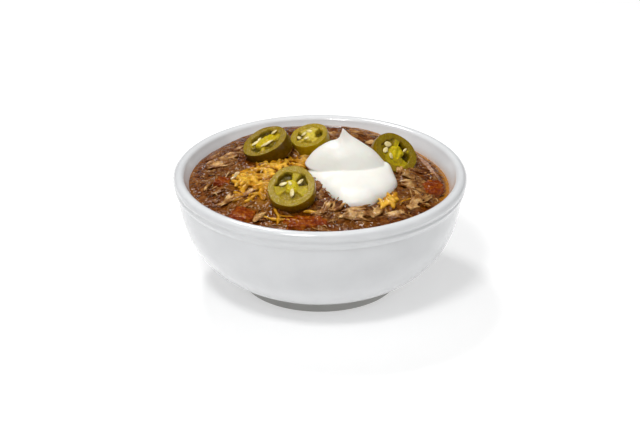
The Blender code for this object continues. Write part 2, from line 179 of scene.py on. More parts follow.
def ripple(mesh, size, depth):
    """Push a mesh in and out along its normals by soft noise."""
    corners = np.empty(len(mesh.vertices) * 3)
    mesh.vertices.foreach_get("co", corners)
    corners = corners.reshape(-1, 3)
    normals = np.array([tuple(normal.vector) for normal in mesh.vertex_normals])
    waves = np.array([noise.noise(Vector(corner) / size + Vector((3.0, 1.0, 0.0))) for corner in corners])
    corners += normals * (waves * depth)[:, None]
    mesh.vertices.foreach_set("co", corners.ravel())
    mesh.update()


def clamp(value):
    """Hold a value between 0 and 1."""
    return min(max(value, 0.0), 1.0)


def smooth_step(value):
    """0 below 0, 1 above 1, easing in between."""
    value = clamp(value)
    return value * value * (3.0 - 2.0 * value)


def plateau(angle, middle, width):
    """1 near the middle angle, falling softly to 0 past the width (degrees)."""
    away = (math.degrees(angle) - middle + 180.0) % 360.0 - 180.0
    return math.exp(-((away / width) ** 4))


def bezier(start, pull_start, pull_end, end, count):
    """Points along a cubic curve, without its start."""
    points = []
    for step in range(1, count + 1):
        t = step / count
        s = 1.0 - t
        points.append(start * s**3 + pull_start * 3 * s * s * t + pull_end * 3 * s * t * t + end * t**3)
    return points


def curve_through(knots, count):
    """Points along a cubic curve given by its four knots (mm), with its start."""
    knots = [Vector(knot) * MM for knot in knots]
    return [knots[0]] + bezier(*knots, count)


def random_spot(reach, rng):
    """A point spread evenly over a disc."""
    radius = reach * math.sqrt(rng.random())
    angle = rng.uniform(0.0, TURN)
    return np.array((radius * math.cos(angle), radius * math.sin(angle)))


def wandering(start, heading, length, bend, rng, count):
    """A gently curving line of points on the plane."""
    points = [np.array(start, float)]
    turn = heading
    drift = rng.uniform(-bend, bend)
    for _ in range(count - 1):
        turn += drift / count + rng.gauss(0.0, bend * 0.25 / math.sqrt(count))
        points.append(points[-1] + length / (count - 1) * np.array((math.cos(turn), math.sin(turn))))
    return np.array(points)


# ---- materials -----------------------------------------------------------
class Nodes:
    """A small hand for building one node material."""

    def __init__(self, name):
        self.material = bpy.data.materials.new(name)
        self.material.use_nodes = True
        self.tree = self.material.node_tree
        self.shader = self.tree.nodes["Principled BSDF"]
        self.place = self.add("ShaderNodeTexCoord").outputs["Object"]

    def add(self, kind, **settings):
        """A new node with its settings."""
        node = self.tree.nodes.new(kind)
        for key, value in settings.items():
            setattr(node, key, value)
        return node

    def feed(self, value, socket):
        """Give a socket another node's output, a colour or a number."""
        if isinstance(value, bpy.types.NodeSocket):
            self.tree.links.new(value, socket)
        elif isinstance(value, tuple):
            socket.default_value = (*value, 1.0)
        else:
            socket.default_value = value

    def noise(self, size, detail=4.0, roughness=0.55, stretch=None, distortion=0.0):
        """Noise whose features are about this size (metres)."""
        node = self.add("ShaderNodeTexNoise")
        node.inputs["Scale"].default_value = 1.0 / size
        node.inputs["Detail"].default_value = detail
        node.inputs["Roughness"].default_value = roughness
        node.inputs["Distortion"].default_value = distortion
        place = self.place
        if stretch is not None:
            mapping = self.add("ShaderNodeMapping")
            mapping.inputs["Scale"].default_value = stretch
            self.feed(place, mapping.inputs["Vector"])
            place = mapping.outputs["Vector"]
        self.feed(place, node.inputs["Vector"])
        return node.outputs["Fac"]

    def cells(self, size):
        """Distance to the nearest of scattered points about this size apart."""
        node = self.add("ShaderNodeTexVoronoi")
        node.inputs["Scale"].default_value = 1.0 / size
        self.feed(self.place, node.inputs["Vector"])
        return node.outputs["Distance"]

    def attribute(self, name):
        """The number that paint() stored under a name."""
        return self.add("ShaderNodeAttribute", attribute_name=name).outputs["Fac"]

    def ramp(self, factor, *stops):
        """Colours or greys by factor: stops are (position, colour or number)."""
        node = self.add("ShaderNodeValToRGB")
        elements = node.color_ramp.elements
        while len(elements) < len(stops):
            elements.new(0.5)
        for element, (position, colour) in zip(elements, stops):
            element.position = position
            element.color = (*colour, 1.0) if isinstance(colour, tuple) else (colour, colour, colour, 1.0)
        self.feed(factor, node.inputs["Fac"])
        return node.outputs["Color"]

    def wander(self, size, detail, low, high, start=0.35):
        """A number that goes from low to high by noise of this size."""
        return self.ramp(self.noise(size, detail), (start, low), (1.0 - start, high))

    def mix(self, factor, first, second, blend="MIX"):
        """Mix two colours; factor, first and second are sockets or values."""
        node = self.add("ShaderNodeMix", data_type="RGBA", blend_type=blend)
        for value, index in ((factor, 0), (first, 6), (second, 7)):
            self.feed(value, node.inputs[index])
        return node.outputs[2]

    def sums(self, first, second, operation="ADD"):
        """Add or multiply two numbers."""
        node = self.add("ShaderNodeMath", operation=operation)
        self.feed(first, node.inputs[0])
        self.feed(second, node.inputs[1])
        return node.outputs[0]

    def bump(self, height, depth, under=None):
        """Bump of this depth (mm); under is a bump below it."""
        node = self.add("ShaderNodeBump")
        node.inputs["Distance"].default_value = depth * MM
        self.feed(height, node.inputs["Height"])
        if under is not None:
            self.feed(under, node.inputs["Normal"])
        return node.outputs["Normal"]

    def finish(self, colour, roughness, normal=None, **constants):
        """Wire the Principled shader; constants are set on its sockets by name."""
        self.feed(colour, self.shader.inputs["Base Color"])
        self.feed(roughness, self.shader.inputs["Roughness"])
        if normal is not None:
            self.feed(normal, self.shader.inputs["Normal"])
        for name, value in constants.items():
            self.shader.inputs[name.replace("_", " ")].default_value = value
        return self.material


def china_material():
    """White glazed china: faint mottling, a slightly wavy glaze, a bare grey foot darkened partly as painted
    shade.
    """
    made = Nodes("china")
    colour = made.ramp(made.noise(14.0 * MM, 3.0), (0.30, (0.72, 0.73, 0.742)), (0.70, (0.76, 0.77, 0.78)))
    bare = made.attribute("bare")
    # the foot's darker grey is partly its bare unglazed clay and partly painted shade
    colour = made.mix(bare, colour, (0.450, 0.445, 0.425))
    glaze = made.wander(5.0 * MM, 2.0, 0.10, 0.17, 0.3)
    rough = made.sums(glaze, made.sums(bare, 0.5, "MULTIPLY"))
    wave = made.bump(made.noise(9.0 * MM, 1.0), 0.12)
    return made.finish(colour, rough, wave, IOR=1.5, Coat_Weight=0.35, Coat_Roughness=0.05)


def sauce_material():
    """Chili sauce over sunken meat: brown liquid, tan where shreds break the surface, orange oil."""
    made = Nodes("chili_sauce")
    sauce = made.ramp(made.noise(3.6 * MM, 6.0, 0.66, distortion=1.0),
                      (0.34, (0.024, 0.003, 0.0)), (0.47, (0.096, 0.020, 0.0004)),
                      (0.59, (0.175, 0.050, 0.005)), (0.72, (0.310, 0.130, 0.032)))
    meat = made.ramp(made.noise(1.5 * MM, 5.0, 0.6), (0.32, (0.080, 0.024, 0.003)),
                     (0.50, (0.240, 0.100, 0.022)), (0.70, (0.500, 0.270, 0.085)))
    colour = made.mix(made.attribute("tone"), sauce, meat)
    drops = made.ramp(made.cells(4.4 * MM), (0.04, 0.60), (0.14, 0.0))
    colour = made.mix(drops, colour, (0.400, 0.145, 0.012))
    colour = made.mix(made.attribute("oil"), colour, (0.400, 0.155, 0.004))
    rough = made.wander(2.4 * MM, 3.0, 0.05, 0.12)
    fine = made.bump(made.noise(1.3 * MM, 1.0, 0.5), 0.30)
    lumps = made.bump(made.noise(3.2 * MM, 1.0), 1.35, fine)
    return made.finish(colour, rough, lumps, IOR=1.38, Specular_IOR_Level=0.35)


def meat_material():
    """Shredded beef: tone 0 is under sauce, 1 is bare pale meat; streaked and wet."""
    made = Nodes("shredded_beef")
    meat = made.ramp(made.attribute("tone"), (0.0, (0.080, 0.018, 0.0006)), (0.30, (0.190, 0.064, 0.009)),
                     (0.60, (0.390, 0.190, 0.050)), (1.0, (0.660, 0.400, 0.150)))
    shade = made.ramp(made.noise(1.6 * MM, 6.0, 0.65, distortion=0.5), (0.28, 0.60), (0.72, 1.35))
    colour = made.mix(1.0, meat, shade, "MULTIPLY")
    stain = made.ramp(made.noise(4.0 * MM, 4.0), (0.48, 0.0), (0.64, 0.65))
    colour = made.mix(stain, colour, (0.190, 0.056, 0.006))
    rough = made.wander(1.6 * MM, 3.0, 0.08, 0.28)
    fibres = made.bump(made.noise(1.0 * MM, 3.0, 0.6), 0.28)
    return made.finish(colour, rough, fibres, IOR=1.38, Specular_IOR_Level=0.45,
                       Subsurface_Weight=0.10, Subsurface_Scale=0.0015)


# foods whose colour follows one noise
# cloud: size (mm), detail, roughness, distortion and stretch of that noise; colours: its stops
# wet: size (mm) and detail of the noise that roughness follows, its ends and where it starts
# bumps: size (mm), detail and depth (mm) of each, the deepest last
FOODS = {
    "beef_membrane": dict(
        cloud=(2.4, 4.0, 0.6, 0.0), wet=(1.6, 2.0, 0.08, 0.24), bumps=((1.0, 4.0, 0.30),),
        colours=((0.30, (0.230, 0.095, 0.045)), (0.52, (0.400, 0.215, 0.125)),
                 (0.74, (0.600, 0.420, 0.310))),
        shader=dict(IOR=1.38, Coat_Weight=0.4, Coat_Roughness=0.06,
                    Subsurface_Weight=0.2, Subsurface_Scale=0.0015)),
    "onion": dict(
        cloud=(1.3, 4.0, 0.6, 0.0, (1.0, 0.3, 1.0)), wet=(1.2, 2.0, 0.10, 0.26), bumps=((0.9, 3.0, 0.20),),
        colours=((0.30, (0.560, 0.340, 0.130)), (0.65, (0.800, 0.600, 0.330))),
        shader=dict(IOR=1.38, Coat_Weight=0.3, Coat_Roughness=0.06,
                    Subsurface_Weight=0.4, Subsurface_Scale=0.002)),
    "fat_beads": dict(
        cloud=(1.5, 2.0, 0.55, 0.0), wet=(0.8, 2.0, 0.04, 0.10), bumps=((1.2, 2.0, 0.05),),
        colours=((0.35, (0.300, 0.100, 0.010)), (0.65, (0.480, 0.220, 0.030))),
        shader=dict(IOR=1.45, Coat_Weight=0.6, Coat_Roughness=0.03)),
    "tomato_flesh": dict(
        cloud=(3.2, 5.0, 0.6, 0.8), wet=(2.0, 3.0, 0.07, 0.22), bumps=((1.4, 1.0, 0.20), (3.2, 1.0, 1.0)),
        colours=((0.32, (0.100, 0.008, 0.0)), (0.50, (0.210, 0.033, 0.0)),
                 (0.62, (0.300, 0.076, 0.001)), (0.74, (0.420, 0.150, 0.006))),
        shader=dict(IOR=1.38, Specular_IOR_Level=0.25, Subsurface_Weight=0.10, Subsurface_Scale=0.002)),
    "pepper_seed": dict(
        cloud=(1.0, 3.0, 0.55, 0.0), wet=(0.6, 2.0, 0.24, 0.40, 0.3), bumps=((0.5, 2.0, 0.08),),
        colours=((0.3, (0.66, 0.50, 0.17)), (0.7, (0.86, 0.76, 0.40))),
        shader=dict(IOR=1.42, Coat_Weight=0.3, Coat_Roughness=0.1)),
}


def food_material(name):
    """One of the plain foods of the table."""
    food = FOODS[name]
    made = Nodes(name)
    size, detail, roughness, distortion, *stretch = food["cloud"]
    cloud = made.noise(size * MM, detail, roughness, stretch[0] if stretch else None, distortion)
    colour = made.ramp(cloud, *food["colours"])
    size, *limits = food["wet"]
    rough = made.wander(size * MM, *limits)
    skin = None
    for size, detail, depth in food["bumps"]:
        skin = made.bump(made.noise(size * MM, detail), depth, skin)
    return made.finish(colour, rough, skin, **food["shader"])


def cheese_material():
    """Melted cheddar: orange-yellow, oily, thinner and redder where sauce shows through."""
    made = Nodes("melted_cheddar")
    fat = made.ramp(made.attribute("tone"), (0.0, (0.200, 0.060, 0.001)), (0.30, (0.400, 0.160, 0.002)),
                    (0.65, (0.540, 0.235, 0.005)), (1.0, (0.740, 0.400, 0.035)))
    shade = made.ramp(made.noise(2.6 * MM, 4.0, 0.6), (0.30, 0.55), (0.70, 1.30))
    colour = made.mix(1.0, fat, shade, "MULTIPLY")
    rough = made.wander(2.0 * MM, 2.0, 0.05, 0.16)
    fine = made.bump(made.noise(1.1 * MM, 2.0), 0.20)
    curd = made.bump(made.noise(2.2 * MM, 2.0), 0.60, fine)
    return made.finish(colour, rough, curd, IOR=1.45, Specular_IOR_Level=0.35,
                       Subsurface_Weight=0.15, Subsurface_Scale=0.002)


def cream_material():
    """Sour cream: warm white, satin, a few tiny pits."""
    made = Nodes("cream")
    colour = made.ramp(made.noise(9.0 * MM, 3.0), (0.3, (0.840, 0.822, 0.755)), (0.7, (0.870, 0.858, 0.800)))
    rough = made.wander(3.0 * MM, 2.0, 0.30, 0.42, 0.3)
    soft = made.bump(made.noise(6.0 * MM, 2.0), 0.25)
    pits = made.bump(made.ramp(made.cells(2.6 * MM), (0.02, 0.0), (0.08, 1.0)), 0.08, soft)
    return made.finish(colour, rough, pits, IOR=1.4, Subsurface_Weight=0.20, Subsurface_Scale=0.002)


def jalapeno_material(name, skin, ring, heart):
    """Pickled pepper: tone 0 is skin, 0.25 a hollow darkened as painted shade, 0.5 cut flesh, 1 the pale
    core; wet.
    """
    made = Nodes(name)
    tone = made.attribute("tone")
    # the chambers' hollows take the flesh's colour darkened: painted shade
    hollow_shade = tuple(channel * 0.40 for channel in ring)
    colour = made.mix(made.ramp(tone, (0.02, 0.0), (0.20, 1.0)), skin, hollow_shade)
    colour = made.mix(made.ramp(tone, (0.28, 0.0), (0.44, 1.0)), colour, ring)
    colour = made.mix(made.ramp(tone, (0.58, 0.0), (0.92, 1.0)), colour, heart)
    shade = made.ramp(made.noise(2.6 * MM, 5.0, 0.6), (0.25, 0.78), (0.75, 1.18))
    colour = made.mix(1.0, colour, shade, "MULTIPLY")
    # pale flecks on the cut flesh are painted glints
    glint_flecks = made.ramp(made.cells(0.9 * MM), (0.06, 1.0), (0.22, 0.0))
    on_flesh = made.ramp(tone, (0.42, 0.0), (0.50, 0.50), (0.66, 0.12))
    colour = made.mix(made.sums(glint_flecks, on_flesh, "MULTIPLY"), colour, (0.74, 0.66, 0.22))
    rough = made.wander(1.2 * MM, 3.0, 0.10, 0.26)
    cut = made.ramp(tone, (0.10, 0.0), (0.30, 1.0))
    grain = made.bump(made.sums(made.cells(0.8 * MM), cut, "MULTIPLY"), 0.28)
    return made.finish(colour, rough, grain, IOR=1.40, Specular_IOR_Level=0.30,
                       Subsurface_Weight=0.15, Subsurface_Scale=0.0025)


# ---- bowl ----------------------------------------------------------------
def inner_profile():
    """The inside of the bowl from the middle of the floor up to the rim roll."""
    roll = Vector((BOWL_RADIUS - RIM_ROLL, BOWL_HEIGHT - RIM_ROLL))
    turn = math.radians(LIP_ANGLE)
    lip = roll + Vector((math.cos(turn), math.sin(turn))) * RIM_ROLL
    points = [Vector((0.0, FLOOR.y)), FLOOR]
    points += bezier(FLOOR, FLOOR + FLOOR_PULL, THROAT - WALL_PULL, THROAT, 18)
    points += bezier(THROAT, THROAT + THROAT_PULL, lip - LIP_PULL, lip, 9)
    return points


INNER = inner_profile()


def outer_profile():
    """The rim roll, bead, body, foot and recess, from the rim down to the axis."""
    roll = Vector((BOWL_RADIUS - RIM_ROLL, BOWL_HEIGHT - RIM_ROLL))
    points = []
    steps = 20
    for step in range(steps + 1):
        turn = math.radians(LIP_ANGLE + (ROLL_END - LIP_ANGLE) * (step + ROLL_START) / steps)
        points.append(roll + Vector((math.cos(turn), math.sin(turn))) * RIM_ROLL)
    waist = Vector((BEAD.x - RIM_DIP, (points[-1].y + BEAD.y) / 2.0))
    foot_top = Vector((FOOT_RADIUS, FOOT_HEIGHT))
    # each curve: where it ends, how it leaves its start and comes to its end (mm), points
    curves = (
        (waist, (-0.5, -0.5), (0.0, 0.3), 4),
        (BEAD, (0.0, -0.3), (0.1, 0.5), 4),
        (GROOVE, (-0.1, -1.2), (0.2, 0.9), 8),
        (SHOULDER, (-0.1, -0.6), (0.1, 0.6), 4),
        (foot_top, (-2.6, -27.5), (16.0, 6.6), 32),
    )
    for end, leaving, coming, count in curves:
        start = points[-1]
        points += bezier(start, start + Vector(leaving) * MM, end + Vector(coming) * MM, end, count)
    heel = Vector((FOOT_RADIUS, FOOT_ROUND))
    sole = Vector((FOOT_RADIUS - FOOT_ROUND, 0.0))
    bend = 0.7 * FOOT_ROUND
    points.append(heel)
    points += bezier(heel, heel - Vector((0.0, bend)), sole + Vector((bend, 0.0)), sole, 4)
    points.append(Vector((FOOT_RADIUS - FOOT_WIDTH, 0.0)))
    points.append(Vector((FOOT_RADIUS - FOOT_WIDTH - FOOT_RECESS, FOOT_RECESS)))
    points.append(Vector((0.0, FOOT_RECESS)))
    return points


def make_bowl(material):
    """The bowl again, turned finely enough for its glaze to shade smoothly."""
    profile = INNER + outer_profile()
    mesh = bpy.data.meshes.new("china_bowl")
    edges = [(index, index + 1) for index in range(len(profile) - 1)]
    mesh.from_pydata([(point.x, 0.0, point.y) for point in profile], edges, [])
    bowl = bpy.data.objects.new("china_bowl", mesh)
    bpy.context.scene.collection.objects.link(bowl)
    turn = bowl.modifiers.new("turn", "SCREW")
    turn.steps = TURNED_STEPS
    turn.render_steps = TURNED_STEPS
    turn.use_merge_vertices = True
    turn.merge_threshold = 0.00001
    turn.use_smooth_shade = True
    bake(bowl)
    bowl.data.set_sharp_from_angle(angle=math.radians(60.0))
    foot_line = FOOT_HEIGHT + 0.05 * MM
    # corners on the foot are marked for its bare grey, which also carries painted shade
    paint(bowl, "bare", [float(corner.co.z < foot_line) for corner in bowl.data.vertices])
    settle(bowl, material, "bowl")


# ---- chili ---------------------------------------------------------------
def inner_radius(height):
    """Radius of the bowl's inside at a height."""
    for low, high in zip(INNER, INNER[1:]):
        if low.y <= height <= high.y and high.y > low.y:
            return low.x + (high.x - low.x) * (height - low.y) / (high.y - low.y)
    return INNER[-1].x


def edge_level(angle):
    """Where the chili meets the wall: higher at the back, lower on the right."""
    level = CHILI_EDGE
    level += CHILI_BACK_RISE * plateau(angle, *CHILI_BACK)
    level -= CHILI_RIGHT_DROP * plateau(angle, *CHILI_RIGHT)
    return level


def chili_level(x, y):
    """Height of the heap's broad surface above a point, as in the CAD."""
    edge = edge_level(math.atan2(y, x))
    share = min(math.hypot(x, y) / inner_radius(edge), 1.0)
    lump = noise.noise(Vector((x, y, 0.0)) / CHILI_LUMP_SIZE) * CHILI_LUMP * (1.0 - share**6)
    for middle_x, middle_y, height, spread in MOUNDS:
        away = math.hypot(x / MM - middle_x, y / MM - middle_y)
        lump += height * MM * math.exp(-((away / spread) ** 2))
    return CHILI_CROWN - (CHILI_CROWN - edge) * share**CHILI_FALL + lump


def liquid_level(x, y):
    """Height of the sauce itself, a little uneven."""
    return chili_level(x, y) + 0.25 * MM * noise.noise(Vector((x, y, 0.02)) / (6.0 * MM))


# kinds of sunken ridge: how many, then the range of width, height and length (mm)
RELIEF_KINDS = (
    (150, (3.0, 6.5), (0.9, 2.1), (4.0, 12.0)),
    (260, (1.4, 3.0), (0.9, 2.2), (4.0, 12.0)),
    (260, (0.7, 1.3), (1.0, 2.0), (3.0, 9.0)),
)
RELIEF_STEP = 0.35 * MM
RELIEF_REACH = 0.86         # share of the bowl's radius that the ridges' starts fill
RELIEF_BED = 0.90 * MM      # the ridges start this far under the sauce
RELIEF_HEADING = (0.5, 1.0)     # mean and spread of the way they run (radians)


class Relief:
    """A square raster over the bowl that holds ridges of meat and their tone."""

    def __init__(self):
        count = int(2 * BOWL_RADIUS / RELIEF_STEP) + 1
        self.axis = np.linspace(-BOWL_RADIUS, BOWL_RADIUS, count)
        self.rise = np.zeros((count, count))
        self.tone = np.zeros((count, count))

    def stroke(self, points, width, height, tone):
        """Raise a soft ridge along a line of points."""
        margin = width * 1.5
        low = np.searchsorted(self.axis, points.min(0) - margin)
        high = np.searchsorted(self.axis, points.max(0) + margin)
        xs = self.axis[low[0]:high[0]]
        ys = self.axis[low[1]:high[1]]
        if len(xs) == 0 or len(ys) == 0:
            return
        grid_x, grid_y = np.meshgrid(xs, ys, indexing="ij")
        nearest = np.full(grid_x.shape, np.inf)
        for start, end in zip(points, points[1:]):
            along = end - start
            share = ((grid_x - start[0]) * along[0] + (grid_y - start[1]) * along[1]) / (along @ along)
            share = np.clip(share, 0.0, 1.0)
            away = np.hypot(grid_x - start[0] - share * along[0], grid_y - start[1] - share * along[1])
            nearest = np.minimum(nearest, away)
        profile = np.clip(1.0 - (nearest / (width / 2.0)) ** 2, 0.0, 1.0)
        part = (slice(low[0], high[0]), slice(low[1], high[1]))
        raised = height * np.sqrt(profile)
        higher = raised > self.rise[part]
        self.rise[part] = np.where(higher, raised, self.rise[part])
        self.tone[part] = np.where(higher, tone * np.minimum(profile * 2.0, 1.0), self.tone[part])

    def sample(self, field, x, y):
        """Read a field at points, blended between raster corners."""
        place_x = (x + BOWL_RADIUS) / RELIEF_STEP
        place_y = (y + BOWL_RADIUS) / RELIEF_STEP
        i = np.clip(place_x.astype(int), 0, len(self.axis) - 2)
        j = np.clip(place_y.astype(int), 0, len(self.axis) - 2)
        u = place_x - i
        v = place_y - j
        low = field[i, j] * (1 - u) + field[i + 1, j] * u
        high = field[i, j + 1] * (1 - u) + field[i + 1, j + 1] * u
        return low * (1 - v) + high * v


def chili_relief(rng):
    """Ridges of sunken meat: broad lumps and thin fibres."""
    relief = Relief()
    for count, width, height, length in RELIEF_KINDS:
        for _ in range(count):
            start = random_spot(BOWL_RADIUS * RELIEF_REACH, rng)
            line = wandering(start, rng.gauss(*RELIEF_HEADING), rng.uniform(*length) * MM, 1.6, rng, 7)
            relief.stroke(line, rng.uniform(*width) * MM, rng.uniform(*height) * MM, rng.uniform(0.10, 1.0))
    return relief


HEAP_GRID = 285             # corners along each side of the heap's grid
HEAP_LAP = 0.25 * MM        # how far the heap reaches into the wall, so that no gap shows
HEAP_CALM = 16              # power by which the relief fades out at the wall
GRIT_SIZE = 2.4 * MM
GRIT_HEIGHT = 0.45 * MM
SAUCE_BLEND = 0.30 * MM     # rounds the sauce where a ridge breaks through it
BARE_HEIGHT = 0.7 * MM      # a ridge this far above the sauce is bare meat
SKIRT_LEVELS = (0.75, 0.45, 0.22, 0.08, 0.02)   # rings down the wall, as shares of its height
OIL_ARC = (22.0, 55.0)      # middle and half width of the arc where oil gathers (degrees)
OIL_START = 0.935           # share of the heap's radius where the oil ring starts
# where melted cheese and fat turn the sauce golden: middle x, y, spread (mm) and strength
GOLDEN = (
    (-32, -31, 10, 0.80), (-33, -12, 12, 0.75), (-12, 9, 9, 0.70), (-18, -52, 7, 0.35),
    (36, -33, 7, 0.35), (48, -22, 6, 0.20), (20, -50, 8, 0.20),
)


def oil_at(x, y, angle, share):
    """How much oil lies on the sauce: a ring along the wall, and golden patches."""
    wave = 0.5 + 0.5 * noise.noise(Vector((x, y, 0.05)) / (4.0 * MM))
    ring = 0.15 + 0.85 * plateau(angle, *OIL_ARC)
    oil = clamp((share - OIL_START - 0.03 * wave) / 0.03) * ring
    for middle_x, middle_y, spread, strength in GOLDEN:
        away = math.hypot(x / MM - middle_x, y / MM - middle_y) / spread
        oil = max(oil, strength * math.exp(-(away**2)) * (0.25 + 0.95 * wave))
    return oil


def heap_top(relief):
    """The heap's top on a disc-shaped grid: its corners, and their tone and oil."""
    line = np.linspace(-1.0, 1.0, HEAP_GRID)
    u, v = np.meshgrid(line, line, indexing="ij")
    places = zip((u * np.sqrt(1.0 - v * v / 2.0)).ravel(), (v * np.sqrt(1.0 - u * u / 2.0)).ravel())
    corners, calm, grit, oil = [], [], [], []
    for place_x, place_y in places:
        angle = math.atan2(place_y, place_x)
        reach = inner_radius(edge_level(angle)) + HEAP_LAP
        share = min(math.hypot(place_x, place_y), 1.0)
        x = reach * place_x
        y = reach * place_y
        corners.append((x, y, liquid_level(x, y)))
        calm.append(1.0 - share**HEAP_CALM)
        grit.append(noise.fractal(Vector((x, y, 0.0)) / GRIT_SIZE, 1.0, 2.1, 3) * GRIT_HEIGHT)
        oil.append(oil_at(x, y, angle, share))
    corners = np.array(corners)
    calm = np.array(calm)
    xs, ys = corners[:, 0], corners[:, 1]
    above = relief.sample(relief.rise, xs, ys) - RELIEF_BED + np.array(grit)
    corners[:, 2] += calm * 0.5 * (above + np.sqrt(above**2 + SAUCE_BLEND**2))
    bare = np.clip(above / BARE_HEIGHT, 0.0, 1.0) * calm
    tone = bare * (0.15 + 0.85 * relief.sample(relief.tone, xs, ys))
    return corners, tone, oil


def heap_border(count):
    """Indices of the corners round a square grid, in order."""
    border = [i * count for i in range(count)]
    border += [(count - 1) * count + j for j in range(1, count)]
    border += [i * count + count - 1 for i in range(count - 2, -1, -1)]
    border += [j for j in range(count - 2, 0, -1)]
    return border


def heap_skirt(corners):
    """Corners and faces that close the heap down the wall and over the floor."""
    border = heap_border(HEAP_GRID)
    rings = [border]
    skirt, faces = [], []
    for level in SKIRT_LEVELS:
        rings.append([len(corners) + len(skirt) + index for index in range(len(border))])
        for index in border:
            x, y, top = corners[index]
            height = FLOOR.y + (top - FLOOR.y) * level
            reach = (inner_radius(height) + 0.1 * MM) / math.hypot(x, y)
            skirt.append((x * reach, y * reach, height))
    for upper, lower in zip(rings, rings[1:]):
        for k in range(len(border)):
            n = (k + 1) % len(border)
            faces.append((upper[k], lower[k], lower[n], upper[n]))
    middle = len(corners) + len(skirt)
    skirt.append((0.0, 0.0, FLOOR.y + 0.3 * MM))
    for k in range(len(border)):
        faces.append((rings[-1][k], middle, rings[-1][(k + 1) % len(border)]))
    return skirt, faces


def make_chili(material, relief):
    """The heap: a disc grid over the bowl with a skirt down the wall to the floor."""
    corners, tone, oil = heap_top(relief)
    skirt, skirt_faces = heap_skirt(corners)
    faces = []
    for i in range(HEAP_GRID - 1):
        for j in range(HEAP_GRID - 1):
            a = i * HEAP_GRID + j
            faces.append((a, a + HEAP_GRID, a + HEAP_GRID + 1, a + 1))
    heap = mesh_object("chili_heap", np.vstack([corners, skirt]), faces + skirt_faces)
    shape = bmesh.new()
    shape.from_mesh(heap.data)
    bmesh.ops.recalc_face_normals(shape, faces=shape.faces)
    shape.to_mesh(heap.data)
    shape.free()
    heap.data.shade_smooth()
    hidden = np.zeros(len(skirt))
    paint(heap, "tone", np.concatenate([tone, hidden]))
    paint(heap, "oil", np.concatenate([oil, hidden]))
    settle(heap, material, "chili")


# ---- shredded beef and what lies with it ---------------------------------
def bare_tone(corner, tone):
    """A shred's own tone where it stands clear of the sauce, 0 where the sauce covers it."""
    clear = (corner.z - liquid_level(corner.x, corner.y) - 0.2 * MM) / (1.5 * MM)
    return clamp(tone) * smooth_step(clear)


def over_heap(line, lifts):
    """Each point of a line raised over the heap, with the ways across and over it and its share."""
    centres = [Vector((x, y, chili_level(x, y) + lift)) for (x, y), lift in zip(line, lifts)]
    last = len(centres) - 1
    for index, centre in enumerate(centres):
        ahead = (centres[min(index + 1, last)] - centres[max(index - 1, 0)]).normalized()
        across = UP.cross(ahead).normalized()
        yield centre, across, ahead.cross(across), index / last


def loft(rings):
    """A closed tube through rings of corners, as corners and faces."""
    sides = len(rings[0])
    last = (len(rings) - 1) * sides
    faces = []
    for first in range(0, last, sides):
        for side in range(sides):
            a = first + side
            b = first + (side + 1) % sides
            faces.append((a, b, b + sides, a + sides))
    faces.append(tuple(reversed(range(sides))))
    faces.append(tuple(range(last, last + sides)))
    return [corner for ring in rings for corner in ring], faces


def shred(line, width, thickness, lift, rng, sides=14):
    """One shred: a flat bundle whose surface is grooved along its fibres, with ragged ends."""
    fibres = max(3, int(width / (0.75 * MM)))
    phase = rng.uniform(0.0, TURN)
    twist = rng.uniform(-0.8, 0.8)
    rings = []
    for centre, across, over, t in over_heap(line, [lift] * len(line)):
        blunt = math.sin(math.pi * min(max(t, 0.02), 0.98)) ** 0.42
        taper = blunt * (0.85 + 0.25 * noise.noise(centre / (3.0 * MM)))
        lean = twist * (t - 0.5)
        across_now = across * math.cos(lean) + over * math.sin(lean)
        over_now = over * math.cos(lean) - across * math.sin(lean)
        ring = []
        for side in range(sides):
            angle = TURN * side / sides
            wide = math.cos(angle)
            high = math.sin(angle)
            groove = 1.0 + 0.16 * math.cos(fibres * angle + phase + 1.5 * t)
            groove += 0.10 * noise.noise(Vector((wide * 2.0, high * 2.0, t * 5.0 + phase)))
            swell = taper * groove / 2.0
            side_step = across_now * (wide * width * swell)
            ring.append(centre + side_step + over_now * (high * thickness * swell))
        rings.append(ring)
    return loft(rings)


def strand(line, lifts, radius, sides=6):
    """One loose strand: a thin tapering tube over the heap."""
    rings = []
    for centre, across, over, t in over_heap(line, lifts):
        size = radius * (0.45 + 0.55 * math.sin(math.pi * t) ** 0.35)
        ring = []
        for side in range(sides):
            angle = TURN * side / sides
            ring.append(centre + (across * math.cos(angle) + over * math.sin(angle)) * size)
        rings.append(ring)
    return loft(rings)


def bundle(middle, heading, length, width, thickness, lift, rng):
    """A torn piece of beef: a soft core and fibres along it that fray at both ends (mm, radians)."""
    ahead = np.array((math.cos(heading), math.sin(heading)))
    across = np.array((-ahead[1], ahead[0]))
    bend = rng.uniform(-0.5, 0.5)
    start = (middle - ahead * length * 0.42) * MM
    line = wandering(start, heading - bend * 0.4, length * 0.84 * MM, abs(bend), rng, 16)
    bed = lift - 0.3
    parts = [shred(line, width * 0.94 * MM, thickness * 0.72 * MM, bed * MM, rng)]
    for _ in range(max(3, int(width * thickness * 0.60))):
        side = rng.uniform(-1.0, 1.0)
        height = rng.uniform(-0.2, 0.85) * math.sqrt(1.0 - side * side) * thickness * 0.5
        run = length * rng.uniform(0.45, 1.0)
        slide = (length - run) * rng.uniform(-0.5, 0.5) - run / 2.0
        start = (middle + across * side * width * 0.46 + ahead * slide) * MM
        line = wandering(start, heading + 0.12 * side + rng.gauss(0.0, 0.12), run * MM, 0.7, rng, 10)
        lifts = [(bed + height + rng.uniform(-0.12, 0.12)) * MM for _ in line]
        parts.append(strand(line, lifts, rng.uniform(0.40, 0.78) * MM))
    return parts


